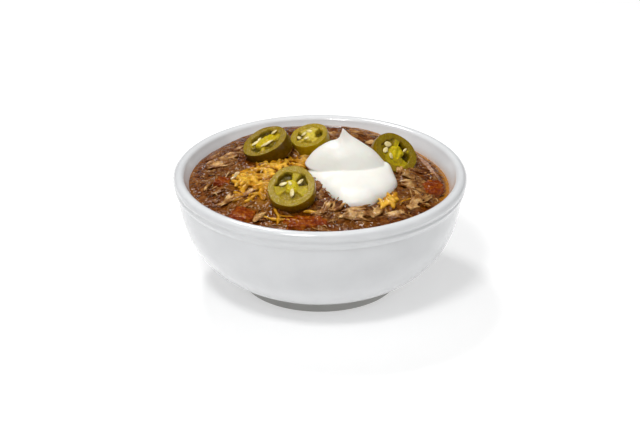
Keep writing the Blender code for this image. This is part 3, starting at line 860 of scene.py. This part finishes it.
# pieces that stand out: middle x, y, heading, length, width, thickness, lift (mm, degrees)
MAIN_PIECES = (
    (-53, 15, 22, 15, 7.5, 3.6, 0.8), (-49, 22, 34, 14, 4.2, 2.6, 1.0), (-56, 26, 40, 11, 3.6, 2.2, 0.6),
    (-43, 24.5, -16, 9, 3.0, 2.0, 0.8), (-43, 34, 20, 9, 3.4, 2.2, 0.8),
    (-46.4, -30, 60, 18, 3.0, 2.6, 1.3), (-31.2, -50, 64, 10.5, 4.4, 3.4, 1.5),
    (-29.6, 5.6, 10, 5.5, 4.0, 3.0, 1.2), (19, -48.6, 6, 17, 6.4, 4.2, 1.2),
    (28.4, -45, 66, 15, 3.8, 3.0, 1.2), (38.4, -45.5, 16, 12, 3.6, 2.8, 0.8),
    (46, -2, -8, 8, 5.4, 3.8, 1.6), (46, -12, 12, 11, 6.6, 4.0, 1.2), (41, 4, 100, 9, 4.0, 3.0, 1.0),
    (50.4, -27.6, 66, 22, 4.6, 3.4, 1.2), (47, -36, 52, 9, 4.0, 2.8, 1.0), (54, -32, 20, 5, 2.4, 2.0, 1.0),
    (3.8, -41.8, 66, 15, 2.6, 2.4, 1.2), (9.6, -44, 50, 9, 3.2, 2.6, 1.2),
    (12.6, -49.5, 20, 9, 3.2, 2.6, 1.0), (-2, -48, 30, 8, 3.0, 2.4, 0.9), (21, 54.6, -5, 20, 3.6, 2.6, 0.8),
    (4, 52, 12, 13, 4.5, 3.0, 0.8), (10, 45, -20, 12, 4.5, 3.0, 0.8), (30, 42, 30, 13, 4.5, 3.2, 0.8),
    (46, 36, -30, 12, 4.0, 2.8, 0.6), (-16.6, 19, 76, 12, 1.8, 1.6, 1.6), (-24, 44, 24, 13, 4.0, 2.8, 0.6),
    (-10, 52, -12, 12, 4.0, 2.8, 0.6), (-58, -12, 70, 11, 2.6, 2.0, 0.5), (-52, -20, 40, 9, 3.0, 2.2, 0.8),
    (-36, -24, 28, 10, 3.4, 2.4, 1.0), (-13, -26.6, 5, 15, 7.0, 6.0, 1.8), (-17, -24, 40, 9, 5.0, 4.0, 1.6),
    (35.5, 22, 40, 12, 6.0, 4.5, 1.0),
)
SMALL_PIECES = 105
SMALL_REACH = 61.0          # how far from the middle they lie (mm)
SMALL_SHAPE = ((4.0, 9.0), (1.6, 3.6), (1.2, 2.0), (0.0, 0.8))  # length, width, thickness, lift (mm)
SMALL_HEADING = (0.6, 0.8)  # mean and spread of the way they run (radians)
MEAT_VOXEL = 0.36 * MM
MEAT_RIPPLE = (1.4 * MM, 0.18 * MM)     # size and depth
LOOSE_FIBRES = 230
FIBRE_REACH = 63.0 * MM     # how far from the middle they start
FIBRE_LIMIT = 65.5 * MM     # those that reach past this are left out
FIBRE_HEADING = (0.6, 1.1)
FIBRE_LENGTHS = (3.0, 10.0)     # mm
FIBRE_RADII = (0.18, 0.40)      # mm


def make_meat(material, rng):
    """The pieces that stand out and many smaller ones, fused where they touch."""
    parts = []
    for x, y, heading, *shape in MAIN_PIECES:
        parts += bundle(np.array((x, y)), math.radians(heading), *shape, rng)
    for _ in range(SMALL_PIECES):
        middle = random_spot(SMALL_REACH, rng)
        heading = rng.gauss(*SMALL_HEADING)
        shape = [rng.uniform(*limits) for limits in SMALL_SHAPE]
        rng.random()        # one more draw, so that the pieces keep the places they were given
        parts += bundle(middle, heading, *shape, rng)
    meat = fuse(join("shredded_beef", parts), MEAT_VOXEL, 3)
    ripple(meat.data, *MEAT_RIPPLE)
    corners = [corner.co for corner in meat.data.vertices]
    tones = [bare_tone(corner, 0.66 + 0.75 * noise.noise(corner / (3.6 * MM))) for corner in corners]
    paint(meat, "tone", tones)
    settle(meat, material)


def make_fibres(material, rng):
    """Loose fibres scattered between the pieces."""
    parts, tones = [], []
    for _ in range(LOOSE_FIBRES):
        start = random_spot(FIBRE_REACH, rng)
        line = wandering(start, rng.gauss(*FIBRE_HEADING), rng.uniform(*FIBRE_LENGTHS) * MM, 2.2, rng, 12)
        if max(math.hypot(x, y) for x, y in line) > FIBRE_LIMIT:
            continue
        arch = rng.uniform(0.0, 1.2) * MM
        base = rng.uniform(0.1, 0.8) * MM
        lifts = [base + arch * math.sin(math.pi * step / (len(line) - 1)) for step in range(len(line))]
        parts.append(strand(line, lifts, rng.uniform(*FIBRE_RADII) * MM))
        tone = rng.uniform(0.1, 1.0)
        tones += [bare_tone(corner, tone) for corner in parts[-1][0]]
    fibres = join("beef_fibres", parts)
    paint(fibres, "tone", tones)
    settle(fibres, material)


MEMBRANE = ((51.8, 33.0), (54.3, 25.5), (58.0, 16.5), (61.2, 4.0))      # knots of its curve (mm)
MEMBRANE_SHAPE = (2.6 * MM, 1.6 * MM, 0.7 * MM)     # width, thickness, lift
ONION_LAYERS = ((-44.6, -9.6, 70.0, 2.5), (-43.4, -7.6, 78.0, 3.0))     # x, y, heading, lift (mm, degrees)
ONION_LENGTH = 4.8
ONION_WIDTH = 2.4 * MM
ONION_THICKNESS = 1.7 * MM
# beads of fat at the wall: x, y, size (mm)
BEADS = (
    (56.4, 6.4, 0.8), (58.4, 10, 1.0), (59.8, 7, 0.7), (57.4, 2.8, 0.7), (60.2, 11.6, 0.6), (55, 9.6, 0.6),
)
SMALL_BEADS = 110
BEAD_REACH = 62.0
BEAD_SIZES = (0.22, 0.50)
BEAD_LIFT = 0.12 * MM


def make_membrane(material, rng):
    """A clear strip of sinew near the wall."""
    line = curve_through(MEMBRANE, 30)
    strip = join("beef_membrane", [shred(line, *MEMBRANE_SHAPE, rng, 20)])
    settle(strip, material)


def make_onion(material, rng):
    """One flake of onion in two layers."""
    layers = []
    for x, y, heading, lift in ONION_LAYERS:
        turn = math.radians(heading)
        ahead = np.array((math.cos(turn), math.sin(turn)))
        start = (np.array((x, y)) - ahead * ONION_LENGTH / 2.0) * MM
        line = wandering(start, turn, ONION_LENGTH * MM, 0.9, rng, 14)
        layers.append(shred(line, ONION_WIDTH, ONION_THICKNESS, lift * MM, rng, 20))
    settle(join("onion_piece", layers), material)


def make_beads(material, rng):
    """Beads of fat that float on the sauce."""
    spots = list(BEADS)
    for _ in range(SMALL_BEADS):
        x, y = random_spot(BEAD_REACH, rng)
        spots.append((x, y, rng.uniform(*BEAD_SIZES)))
    beads = []
    for x, y, size in spots:
        place = Matrix.Translation((x * MM, y * MM, liquid_level(x * MM, y * MM) + BEAD_LIFT))
        beads.append(seed_shape(place, 2.0 * size * MM, 2.0 * size * MM, 1.1 * size * MM))
    settle(join("fat_beads", beads), material)


# ---- jalapeno slices -----------------------------------------------------
# places as in the CAD, looks from how each lies
# middle: of the cut face; facing: the way it looks; radius, thickness, flesh: mm
# chambers: (middle angle, half span, depth) of each hollow, degrees and mm
# core: its radius, how much longer it is than wide, and the way it points
# seeds: (x, y, heading, length, width, lift) on the face, mm and degrees
# skin, ring, heart: colours of the skin, the cut flesh and the core; the skins' lightness differs from slice
# to slice as painted light and shade, the first darkest and the second lightest
PEPPERS = (
    dict(middle=(-29.0, 19.2, 69.6), facing=(-0.380, -0.190, 0.905), radius=12.2, thickness=8.0, flesh=3.4,
         chambers=((100, 62, 1.7), (-55, 42, 1.2), (-140, 30, 1.5)), core=(3.6, 1.75, 22),
         seeds=((5.6, 3.9, 40, 3.6, 3.0, 0.6), (-5.2, 0.4, 30, 4.4, 2.2, 0.3),
                (-2.8, 2.6, 65, 3.0, 1.6, 0.2), (0.6, -3.9, 12, 5.2, 1.5, 0.3),
                (3.0, -2.6, 20, 3.2, 1.4, 0.2)),
         # painted shade: this slice's skin is darkened as if in shadow
         skin=(0.110, 0.055, 0.0), ring=(0.270, 0.175, 0.006), heart=(0.560, 0.410, 0.004)),
    dict(middle=(-5.8, 26.2, 69.9), facing=(-0.249, -0.203, 0.946), radius=10.1, thickness=9.4, flesh=2.9,
         chambers=((2, 40, 2.6), (168, 34, 1.8), (-110, 34, 1.0)), core=(3.5, 1.25, 100),
         seeds=((-2.6, 1.0, 60, 3.4, 2.6, 0.6), (-5.4, -0.6, 110, 3.0, 1.9, 0.0),
                (-1.2, -2.6, 10, 3.2, 1.8, 0.2), (0.6, 2.6, 150, 3.0, 2.0, 0.4)),
         # painted light: this slice's skin is lit brighter than its own cut flesh
         skin=(0.400, 0.265, 0.0), ring=(0.350, 0.240, 0.008), heart=(0.640, 0.500, 0.050)),
    dict(middle=(-14.4, -37.0, 69.4), facing=(-0.100, -0.530, 0.840), radius=12.1, thickness=7.0, flesh=3.3,
         chambers=((128, 46, 3.0), (28, 30, 2.4), (-98, 52, 0.9)), core=(3.7, 1.15, 100),
         seeds=((-4.2, 1.3, 14, 3.9, 2.2, 0.5), (4.5, 1.9, 42, 3.7, 1.7, 0.4),
                (0.3, -4.6, 86, 4.4, 2.4, 0.7), (-0.6, 1.6, 120, 2.6, 1.8, 0.3)),
         skin=(0.300, 0.170, 0.0), ring=(0.350, 0.240, 0.012), heart=(0.560, 0.430, 0.008)),
    dict(middle=(39.6, 11.4, 66.3), facing=(0.470, -0.476, 0.736), radius=12.1, thickness=5.6, flesh=3.5,
         chambers=((58, 24, 2.6), (2, 26, 2.8), (150, 52, 0.8)), core=(3.9, 1.35, -110),
         seeds=((-5.8, 2.4, 20, 3.8, 3.0, 0.7), (-6.4, -1.6, 70, 3.6, 2.4, 0.4),
                (4.6, 3.6, 60, 2.8, 1.3, 0.3), (-2.6, -3.6, 120, 3.2, 2.2, 0.3)),
         skin=(0.215, 0.125, 0.0), ring=(0.230, 0.150, 0.002), heart=(0.560, 0.430, 0.004)),
)
UNDERSIDE_DEPTH = 0.25      # hollows of the underside, as a share of the top's
SLICE_SEGMENTS = 168
SLICE_RINGS = 46
SLICE_EDGE = 0.5            # height of the skin's rounded edges (mm)
SLICE_BULGE = 0.30          # how far the skin swells between them (mm)
SEED_THICKNESS = 0.9


def slice_matrix(pepper):
    """The slice's own frame: its cut face at Z = 0, looking along +Z."""
    turn = UP.rotation_difference(Vector(pepper["facing"]).normalized())
    return Matrix.Translation(Vector(pepper["middle"]) * MM) @ turn.to_matrix().to_4x4()


def pepper_outline(angle, seed):
    """How far a slice bulges from a true circle."""
    wave = 1.0 + 0.020 * math.cos(2.0 * angle + seed) + 0.014 * math.cos(3.0 * angle + 2.0 * seed)
    return wave + 0.007 * math.cos(7.0 * angle + seed)


def grain_at(x, y, seed, size):
    """Soft noise over the cut face, from -1 to 1."""
    return noise.noise(Vector((x, y, seed)) / size)


def pepper_relief(pepper, x, y, seed, side):
    """Height (mm) and tone of the cut face at a place (mm from its middle); the tone is darker in the
    chambers as painted shade.
    """
    reach = math.hypot(x, y)
    angle = math.degrees(math.atan2(y, x))
    wall = pepper["radius"] - pepper["flesh"]
    wall += 0.35 * math.sin(math.radians(5.0 * angle) + seed) + 0.25 * math.sin(math.radians(11.0 * angle))
    size, longer, heading = pepper["core"]
    core = size * (1.0 + (longer - 1.0) * abs(math.cos(math.radians(angle - heading))) ** 1.5)
    core *= 1.0 + 0.16 * grain_at(x, y, seed, 2.2)
    inside = smooth_step((wall - reach) / 0.7)
    heart = smooth_step((core - reach) / 1.6)
    height = 0.75 * heart - 0.45 * inside
    height += 0.5 * heart * grain_at(x, y, seed + 9.0, 1.7) + 0.10 * grain_at(x, y, seed * 3.0 + side, 0.9)
    chamber_shade = 0.0
    for middle, half_span, depth in pepper["chambers"]:
        off = abs((angle - middle + 180.0) % 360.0 - 180.0)
        opened = smooth_step((half_span - off) / 11.0) * smooth_step((reach - core * 0.92) / 0.9) * inside
        chamber_shade = max(chamber_shade, opened * min(depth / 1.6, 1.0))
        deep = depth if side > 0 else depth * UNDERSIDE_DEPTH
        height -= deep * opened * (1.0 + 0.25 * grain_at(x, y, seed + 4.0, 2.5))
    # the tone falls toward the hollow colour where the chambers open: painted shade
    tone = 0.5 + 0.26 * inside + 0.34 * heart - 0.55 * chamber_shade * (1.0 - heart)
    tone += 0.16 * inside * grain_at(x, y, seed + 2.0, 1.6)
    if reach > pepper["radius"] - 0.8:
        tone = 0.44         # the flesh right under the skin
    return height, min(max(tone, 0.2), 1.0)


def slice_face(pepper, seed, side):
    """Corners (mm) and tones of one cut face: its middle, then ring after ring."""
    corners, tones = [], []
    for ring in range(SLICE_RINGS):
        share = 0.985 * ring / (SLICE_RINGS - 1)
        for step in range(SLICE_SEGMENTS if ring else 1):
            angle = TURN * step / SLICE_SEGMENTS
            reach = pepper["radius"] * share * (1.0 + (pepper_outline(angle, seed) - 1.0) * share)
            x = reach * math.cos(angle)
            y = reach * math.sin(angle)
            height, tone = pepper_relief(pepper, x, y, seed, side)
            corners.append((x, y, height if side > 0 else -pepper["thickness"] - height))
            tones.append(tone)
    return corners, tones


def slice_skin(pepper, seed):
    """Corners (mm) of the skin, ring after ring from the top face to the underside."""
    thickness = pepper["thickness"]
    straight = thickness - 2.0 * SLICE_EDGE
    levels = [(-0.04, 0.10), (-0.22, 0.02)]
    levels += [(-SLICE_EDGE - straight * step / 7.0, 0.0) for step in range(8)]
    levels += [(-thickness + 0.22, 0.02), (-thickness + 0.06, 0.10)]
    corners = []
    for height, inset in levels:
        swell = SLICE_BULGE * math.sin(math.pi * clamp(-height / thickness)) - inset
        for step in range(SLICE_SEGMENTS):
            angle = TURN * step / SLICE_SEGMENTS
            reach = pepper["radius"] * pepper_outline(angle, seed) + swell
            corners.append((reach * math.cos(angle), reach * math.sin(angle), height))
    return corners


def band(upper, lower):
    """Faces between two rings of a slice, given by their first corners."""
    pairs = [(step, (step + 1) % SLICE_SEGMENTS) for step in range(SLICE_SEGMENTS)]
    return [(upper + step, lower + step, lower + n, upper + n) for step, n in pairs]


def fan(middle, ring):
    """Faces from the middle of a cut face to its first ring."""
    return [(middle, ring + step, ring + (step + 1) % SLICE_SEGMENTS) for step in range(SLICE_SEGMENTS)]


def pepper_shape(pepper, seed):
    """A closed slice: a relief face on each side and a rounded skin between them."""
    top, top_tones = slice_face(pepper, seed, 1)
    skin = slice_skin(pepper, seed)
    bottom, bottom_tones = slice_face(pepper, seed, -1)
    bottom_start = len(top) + len(skin)
    top_rings = list(range(1, bottom_start, SLICE_SEGMENTS))
    bottom_rings = list(range(bottom_start + 1, bottom_start + len(bottom), SLICE_SEGMENTS))
    rings = top_rings + bottom_rings[::-1]
    faces = fan(0, 1)
    for upper, lower in zip(rings, rings[1:]):
        faces += band(upper, lower)
    faces += [face[::-1] for face in fan(bottom_start, bottom_start + 1)]
    corners = [Vector(corner) * MM for corner in top + skin + bottom]
    return corners, faces, top_tones + [0.0] * len(skin) + bottom_tones


def unit_ball(segments, rings):
    """Corners and faces of a ball of radius 1."""
    shape = bmesh.new()
    bmesh.ops.create_uvsphere(shape, u_segments=segments, v_segments=rings, radius=1.0)
    shape.verts.index_update()
    corners = [corner.co.copy() for corner in shape.verts]
    faces = [tuple(corner.index for corner in face.verts) for face in shape.faces]
    shape.free()
    return corners, faces


SEED_CORNERS, SEED_FACES = unit_ball(16, 10)


def seed_shape(place, length, width, thickness):
    """One flat seed or bead: a squashed ball with a blunt point."""
    half = Vector((length, width, thickness)) / 2.0
    corners = []
    for x, y, z in SEED_CORNERS:
        point = 1.0 + 0.22 * max(x, 0.0) ** 2
        corners.append(place @ Vector((x * point * half.x, y * half.y, z * half.z)))
    return corners, SEED_FACES


def make_jalapenos(seeds_material, rng):
    """Four slices and the seeds that still cling to their cores."""
    seeds = []
    for index, pepper in enumerate(PEPPERS):
        place = slice_matrix(pepper)
        corners, faces, tones = pepper_shape(pepper, 1.7 * index + 0.6)
        name = f"jalapeno_slice_{index + 1}"
        piece = mesh_object(name, [place @ corner for corner in corners], faces)
        paint(piece, "tone", tones)
        material = jalapeno_material(name, pepper["skin"], pepper["ring"], pepper["heart"])
        settle(piece, material, f"jalapeno_{index + 1}")
        for x, y, heading, length, width, lift in pepper["seeds"]:
            local = Matrix.Translation(Vector((x, y, lift)) * MM)
            local = local @ Matrix.Rotation(math.radians(heading), 4, "Z")
            local = local @ Matrix.Rotation(rng.uniform(-0.35, 0.35), 4, "X")
            local = local @ Matrix.Rotation(rng.uniform(-0.15, 0.15), 4, "Y")
            seeds.append(seed_shape(place @ local, length * MM, width * MM, SEED_THICKNESS * MM))
    settle(join("jalapeno_seeds", seeds), seeds_material)


# ---- sour cream ----------------------------------------------------------
# the broad spoonful below and the fold that lies on it
CREAM_BASE = Vector((16.6, -13.6, 59.6)) * MM
CREAM_BASE_HALF = (22.6 * MM, 26.6 * MM)
CREAM_BASE_UP = 7.6 * MM
CREAM_BASE_DOWN = 5.0 * MM
CREAM_BASE_FULLNESS = 3.4  # power that keeps the base's top broad
# (middle angle, width, share) by which the base's outline swells or draws in
CREAM_BULGES = ((-84, 26, 0.05), (-146, 34, -0.22), (160, 15, 0.14), (12, 22, 0.02), (-38, 22, -0.05))
CREAM_CURL = Vector((36.5, 2.0)) * MM      # the base's right side rises here, beside the fold
CREAM_CURL_HEIGHT = 3.4 * MM
CREAM_CURL_SPREAD = 5.5 * MM
CREAM_FOLD = Vector((12.8, -1.2, 65.9)) * MM
CREAM_FOLD_HALF = (20.5 * MM, 13.6 * MM)
CREAM_FOLD_UP = 12.1 * MM
CREAM_FOLD_DOWN = 3.2 * MM
CREAM_FOLD_DOME = 2.4       # power by which the fold falls from its top to its rim
CREAM_PEAK = Vector((11.6, 0.0)) * MM       # the thin tip where the spoon left the cream
CREAM_PEAK_HEIGHT = 7.2 * MM
CREAM_PEAK_LEFT = 1.4 * MM
CREAM_PEAK_RIGHT = 5.5 * MM
CREAM_PEAK_DEPTH = 3.0 * MM
CREAM_PEAK_ROUNDING = 1.4   # above 1 rounds the very tip
CREAM_VOXEL = 0.40 * MM
CREAM_RIPPLE = (9.0 * MM, 0.5 * MM)     # size and depth


def swollen_ball(centre, half, up, down, dome, bulges):
    """A soft mass: an outline with bulges, domed above by a given rule and round below."""
    shape = bmesh.new()
    bmesh.ops.create_uvsphere(shape, u_segments=144, v_segments=96, radius=1.0)
    for corner in shape.verts:
        angle = math.atan2(corner.co.y, corner.co.x)
        reach = min(math.hypot(corner.co.x, corner.co.y), 1.0)
        swell = 1.0 + sum(share * plateau(angle, middle, width) for middle, width, share in bulges)
        height = up * dome(reach) if corner.co.z > 0.0 else -down * math.sqrt(1.0 - reach * reach)
        x = math.cos(angle) * half[0] * reach * swell
        y = math.sin(angle) * half[1] * reach * swell
        corner.co = centre + Vector((x, y, height))
    return shape


def base_dome(reach):
    """A broad top with full shoulders."""
    return math.sqrt(1.0 - reach**CREAM_BASE_FULLNESS)


def fold_dome(reach):
    """A top that falls ever faster to its rim."""
    return 1.0 - reach**CREAM_FOLD_DOME


def raise_curl(shape):
    """Swell the base's right side up beside the fold."""
    for corner in shape.verts:
        if corner.co.z > CREAM_BASE.z:
            away = (corner.co.xy - CREAM_CURL).length / CREAM_CURL_SPREAD
            corner.co.z += CREAM_CURL_HEIGHT * math.exp(-(away**2))


def raise_peak(shape):
    """Draw the top of the fold to the peak and up into a thin tip, steep on its left."""
    for corner in shape.verts:
        if corner.co.z <= CREAM_FOLD.z:
            continue
        share = (corner.co.z - CREAM_FOLD.z) / CREAM_FOLD_UP
        corner.co.xy += (CREAM_PEAK - CREAM_FOLD.xy) * share**2
        across = corner.co.x - CREAM_PEAK.x
        along = corner.co.y - CREAM_PEAK.y
        spread = CREAM_PEAK_LEFT if across < 0.0 else CREAM_PEAK_RIGHT
        away = math.hypot(across / spread, along / CREAM_PEAK_DEPTH)
        corner.co.z += CREAM_PEAK_HEIGHT * math.exp(-(away**CREAM_PEAK_ROUNDING))


def make_cream(material):
    """A base and a pointed fold, fused by a voxel remesh and smoothed."""
    base = swollen_ball(CREAM_BASE, CREAM_BASE_HALF, CREAM_BASE_UP, CREAM_BASE_DOWN, base_dome, CREAM_BULGES)
    raise_curl(base)
    fold = swollen_ball(CREAM_FOLD, CREAM_FOLD_HALF, CREAM_FOLD_UP, CREAM_FOLD_DOWN, fold_dome, ())
    raise_peak(fold)
    fold_mesh = bpy.data.meshes.new("cream_fold")
    fold.to_mesh(fold_mesh)
    fold.free()
    base.from_mesh(fold_mesh)
    cream = fuse(shape_object("sour_cream_dollop", base), CREAM_VOXEL, 3)
    ripple(cream.data, *CREAM_RIPPLE)
    settle(cream, material, "sour_cream")


# ---- tomato and cheese ---------------------------------------------------
# middle, half sizes, turn about Z, tilt (mm and degrees), as in the CAD
TOMATOES = (
    ((-6.6, -55.6, 56.0), (10.6, 4.8, 3.4), 2.0, 6.0),
    ((-38.6, -45.8, 55.6), (6.4, 5.8, 3.4), -20.0, 6.0),
    ((-49.4, -8.8, 57.0), (4.8, 5.0, 3.0), -12.0, -6.0),
    ((57.6, -10.0, 53.6), (5.4, 7.6, 3.4), -22.0, 4.0),
)
TOMATO_CUTS = 27
TOMATO_NARROWING = 0.14     # one end is narrower by this share
TOMATO_SOFTNESS = 0.55      # 0 is a sharp box, 1 a ball
TOMATO_BALL = 1.25          # size of that ball beside the box
TOMATO_CRUMPLE = 0.15
TOMATO_CRUMPLE_SIZE = 3.4 * MM


def make_tomatoes(material):
    """Diced pieces: soft boxes with crumpled, wet sides."""
    for index, (middle, half, turn, tilt) in enumerate(TOMATOES):
        shape = bmesh.new()
        bmesh.ops.create_cube(shape, size=2.0)
        bmesh.ops.subdivide_edges(shape, edges=shape.edges[:], cuts=TOMATO_CUTS, use_grid_fill=True)
        for corner in shape.verts:
            ball = corner.co.normalized() * max(abs(value) for value in corner.co) * TOMATO_BALL
            soft = corner.co.lerp(ball, TOMATO_SOFTNESS)
            soft.y *= 1.0 - TOMATO_NARROWING * corner.co.x
            place = soft * Vector(half) * MM
            shift = Vector((index * 9.0, 0.0, 0.0))
            crumple = noise.fractal(place / TOMATO_CRUMPLE_SIZE + shift, 1.0, 2.1, 4)
            corner.co = place * (1.0 + TOMATO_CRUMPLE * crumple)
        spin = Matrix.Rotation(math.radians(turn), 4, "Z") @ Matrix.Rotation(math.radians(tilt), 4, "X")
        shape.transform(Matrix.Translation(Vector(middle) * MM) @ spin)
        piece = shape_object(f"tomato_piece_{index + 1}", shape)
        settle(piece, material, f"tomato_{index + 1}")


# areas of cheese: middle x, y, half length, half width, turn (mm, degrees), number of strands
CHEESES = ((-26.5, -5.5, 19.0, 14.0, 32.0, 92), (36.5, -32.0, 10.4, 3.4, 56.0, 18))
CHEESE_LENGTHS = ((4.0, 12.0), (5.0, 12.0))     # of the strands in each of them (mm)
CHEESE_RADII = (0.70, 1.45)
CHEESE_LIFTS = (-0.3, 1.7)
CHEESE_WEBS = ((-33.0, -24.0, 10.0, 8.0, 30.0, 46), (-11.5, 9.5, 9.0, 5.0, 56.0, 26))
WEB_LENGTHS = (3.0, 9.0)
WEB_RADII = (0.7, 1.3)
WEB_LIFTS = (0.2, 1.0)
CHEESE_FILL = 0.90          # share of a patch where its strands' middles lie
# single strands that lie on the chili: knots of the curve, then radius (mm)
CHEESE_STRANDS = (
    (((-23.4, -43.3), (-21.0, -47.0), (-19.6, -51.0), (-21.4, -58.0)), 0.9),
    (((-30.1, -47.8), (-24.0, -55.0), (-15.0, -53.5), (-6.3, -59.0)), 0.9),
    (((-21.9, -46.2), (-18.5, -51.0), (-15.0, -47.0), (-12.6, -49.1)), 0.7),
    (((-8.4, -46.6), (-5.5, -44.6), (-3.0, -48.0), (-0.6, -46.0)), 1.1),
    (((-17.5, 23.0), (-18.2, 19.0), (-16.0, 15.5), (-14.6, 13.0)), 0.8),
    (((52.3, -33.2), (53.6, -31.6), (54.6, -32.4), (56.0, -31.0)), 0.8),
    (((26.0, -50.5), (28.0, -47.0), (30.0, -44.0), (31.6, -39.0)), 0.7),
)
STRAND_LIFT = 0.9 * MM
CHEESE_SIDES = 10
CHEESE_VOXEL = 0.32 * MM
CHEESE_RIPPLE = (2.6 * MM, 0.35 * MM)   # size and depth


def spot_in_oval(x, y, half_length, half_width, turn, fill, rng):
    """A point spread evenly over a turned oval."""
    angle = rng.uniform(0.0, TURN)
    reach = math.sqrt(rng.random()) * fill
    flat = Vector((half_length * math.cos(angle), half_width * math.sin(angle))) * reach
    return (Vector((x, y)) + Matrix.Rotation(math.radians(turn), 2) @ flat) * MM


def melt_tone(corner):
    """0 where thin cheese lies in the sauce, 1 where it stands thick and pale; uneven."""
    clear = (corner.z - liquid_level(corner.x, corner.y) - 0.2 * MM) / (2.0 * MM)
    return clamp(clear + 0.45 * noise.noise(corner / (3.4 * MM)))


def melt(name, parts, material, node=None):
    """Fuse and soften strands of cheese into one piece."""
    cheese = fuse(join(name, parts), CHEESE_VOXEL, 10)
    ripple(cheese.data, *CHEESE_RIPPLE)
    paint(cheese, "tone", [melt_tone(corner.co) for corner in cheese.data.vertices])
    settle(cheese, material, node)


def make_cheese_patches(material, rng):
    """Patches of grated cheese whose strands have slumped together."""
    for index, ((*oval, count), lengths) in enumerate(zip(CHEESES, CHEESE_LENGTHS)):
        parts = []
        for _ in range(count):
            middle = spot_in_oval(*oval, CHEESE_FILL, rng)
            heading = math.radians(oval[-1]) + rng.gauss(0.0, 0.9)
            run = rng.uniform(*lengths) * MM
            start = middle - Vector((math.cos(heading), math.sin(heading))) * run * 0.5
            line = wandering(start, heading, run, 2.2, rng, 12)
            radius = rng.uniform(*CHEESE_RADII) * MM
            lift = rng.uniform(*CHEESE_LIFTS) * MM
            parts.append(strand(line, [lift] * len(line), radius, CHEESE_SIDES))
        melt(f"cheese_patch_{index + 1}", parts, material, f"melted_cheese_{index + 1}")


def make_cheese_strands(material, rng):
    """Single strands on the chili, and loose webs of them beside the patches."""
    parts = []
    for knots, radius in CHEESE_STRANDS:
        line = curve_through(knots, 15)
        parts.append(strand(line, [STRAND_LIFT] * len(line), radius * MM, CHEESE_SIDES))
    for *oval, count in CHEESE_WEBS:
        for _ in range(count):
            start = spot_in_oval(*oval, 1.0, rng)
            line = wandering(start, rng.uniform(0.0, TURN), rng.uniform(*WEB_LENGTHS) * MM, 2.4, rng, 12)
            lift = rng.uniform(*WEB_LIFTS) * MM
            parts.append(strand(line, [lift] * len(line), rng.uniform(*WEB_RADII) * MM, CHEESE_SIDES))
    melt("cheese_strands", parts, material)


# ---- stage ---------------------------------------------------------------
# lights: name, place (m), side (m), power (W)
LIGHTS = (
    ("back", (-0.30, 0.60, 1.10), 0.22, 6.5),
    ("key", (-0.25, -0.60, 1.15), 0.25, 7.2),
    ("top", (0.0, -0.45, 1.40), 1.10, 3.6),
    ("left", (-1.10, -0.40, 0.60), 0.80, 0.8),
    ("right", (1.10, -0.40, 0.60), 0.80, 1.6),
)
LIT_POINT = Vector((0.0, 0.0, 0.05))
FLOOR_REACH = 3.0


def make_camera():
    """Looks at the bowl from in front and above."""
    camera = bpy.data.objects.new("camera", bpy.data.cameras.new("camera"))
    camera.data.lens = CAMERA_LENS
    camera.data.clip_end = 20.0
    back = Vector((0.0, -math.cos(CAMERA_ELEVATION), math.sin(CAMERA_ELEVATION)))
    camera.location = RIM_MIDDLE + back * CAMERA_DISTANCE
    camera.rotation_euler = (math.pi / 2.0 - CAMERA_ELEVATION - CAMERA_DIP, 0.0, 0.0)
    bpy.context.scene.collection.objects.link(camera)
    bpy.context.scene.camera = camera


def make_lights():
    """Square soft lights that face the chili."""
    for name, place, size, power in LIGHTS:
        light = bpy.data.objects.new(name, bpy.data.lights.new(name, "AREA"))
        light.data.shape = "SQUARE"
        light.data.size = size
        light.data.energy = power
        light.location = place
        light.rotation_euler = (LIT_POINT - Vector(place)).to_track_quat("-Z", "Y").to_euler()
        bpy.context.scene.collection.objects.link(light)


def make_world():
    """A plain white surround, dim near the horizon and brighter overhead."""
    world = bpy.data.worlds.new("studio")
    bpy.context.scene.world = world
    world.use_nodes = True
    tree = world.node_tree
    place = tree.nodes.new("ShaderNodeTexCoord")
    parts = tree.nodes.new("ShaderNodeSeparateXYZ")
    fade = tree.nodes.new("ShaderNodeMapRange")
    limits = {"From Min": 0.45, "From Max": 1.0, "To Min": 0.04, "To Max": 0.50}
    for name, value in limits.items():
        fade.inputs[name].default_value = value
    tree.links.new(place.outputs["Generated"], parts.inputs["Vector"])
    tree.links.new(parts.outputs["Z"], fade.inputs["Value"])
    tree.links.new(fade.outputs["Result"], tree.nodes["Background"].inputs["Strength"])
    tree.nodes["Background"].inputs["Color"].default_value = (1.0, 1.0, 1.0, 1.0)


def make_floor():
    """A plain pale floor."""
    places = [(x * FLOOR_REACH, y * FLOOR_REACH, 0.0) for x, y in ((-1, -1), (1, -1), (1, 1), (-1, 1))]
    floor = mesh_object("floor", places, [(0, 1, 2, 3)], False)
    made = Nodes("floor")
    made.finish((0.62, 0.62, 0.62), 0.9, Emission_Color=(1.0, 1.0, 1.0, 1.0), Emission_Strength=0.42)
    floor.data.materials.append(made.material)


# ---- assembly ------------------------------------------------------------
def main():
    """Build every piece; those with random parts share one stream of draws, in this order."""
    rng = random.Random(7)
    make_bowl(china_material())
    make_chili(sauce_material(), chili_relief(rng))
    beef = meat_material()
    make_meat(beef, rng)
    make_fibres(beef, rng)
    make_membrane(food_material("beef_membrane"), rng)
    make_onion(food_material("onion"), rng)
    make_beads(food_material("fat_beads"), rng)
    make_jalapenos(food_material("pepper_seed"), rng)
    make_cream(cream_material())
    make_tomatoes(food_material("tomato_flesh"))
    cheddar = cheese_material()
    make_cheese_patches(cheddar, rng)
    make_cheese_strands(cheddar, rng)
    make_floor()
    make_world()
    make_lights()
    make_camera()
    bpy.context.scene.view_settings.view_transform = "Standard"
    bpy.context.scene.view_settings.look = "None"


main()
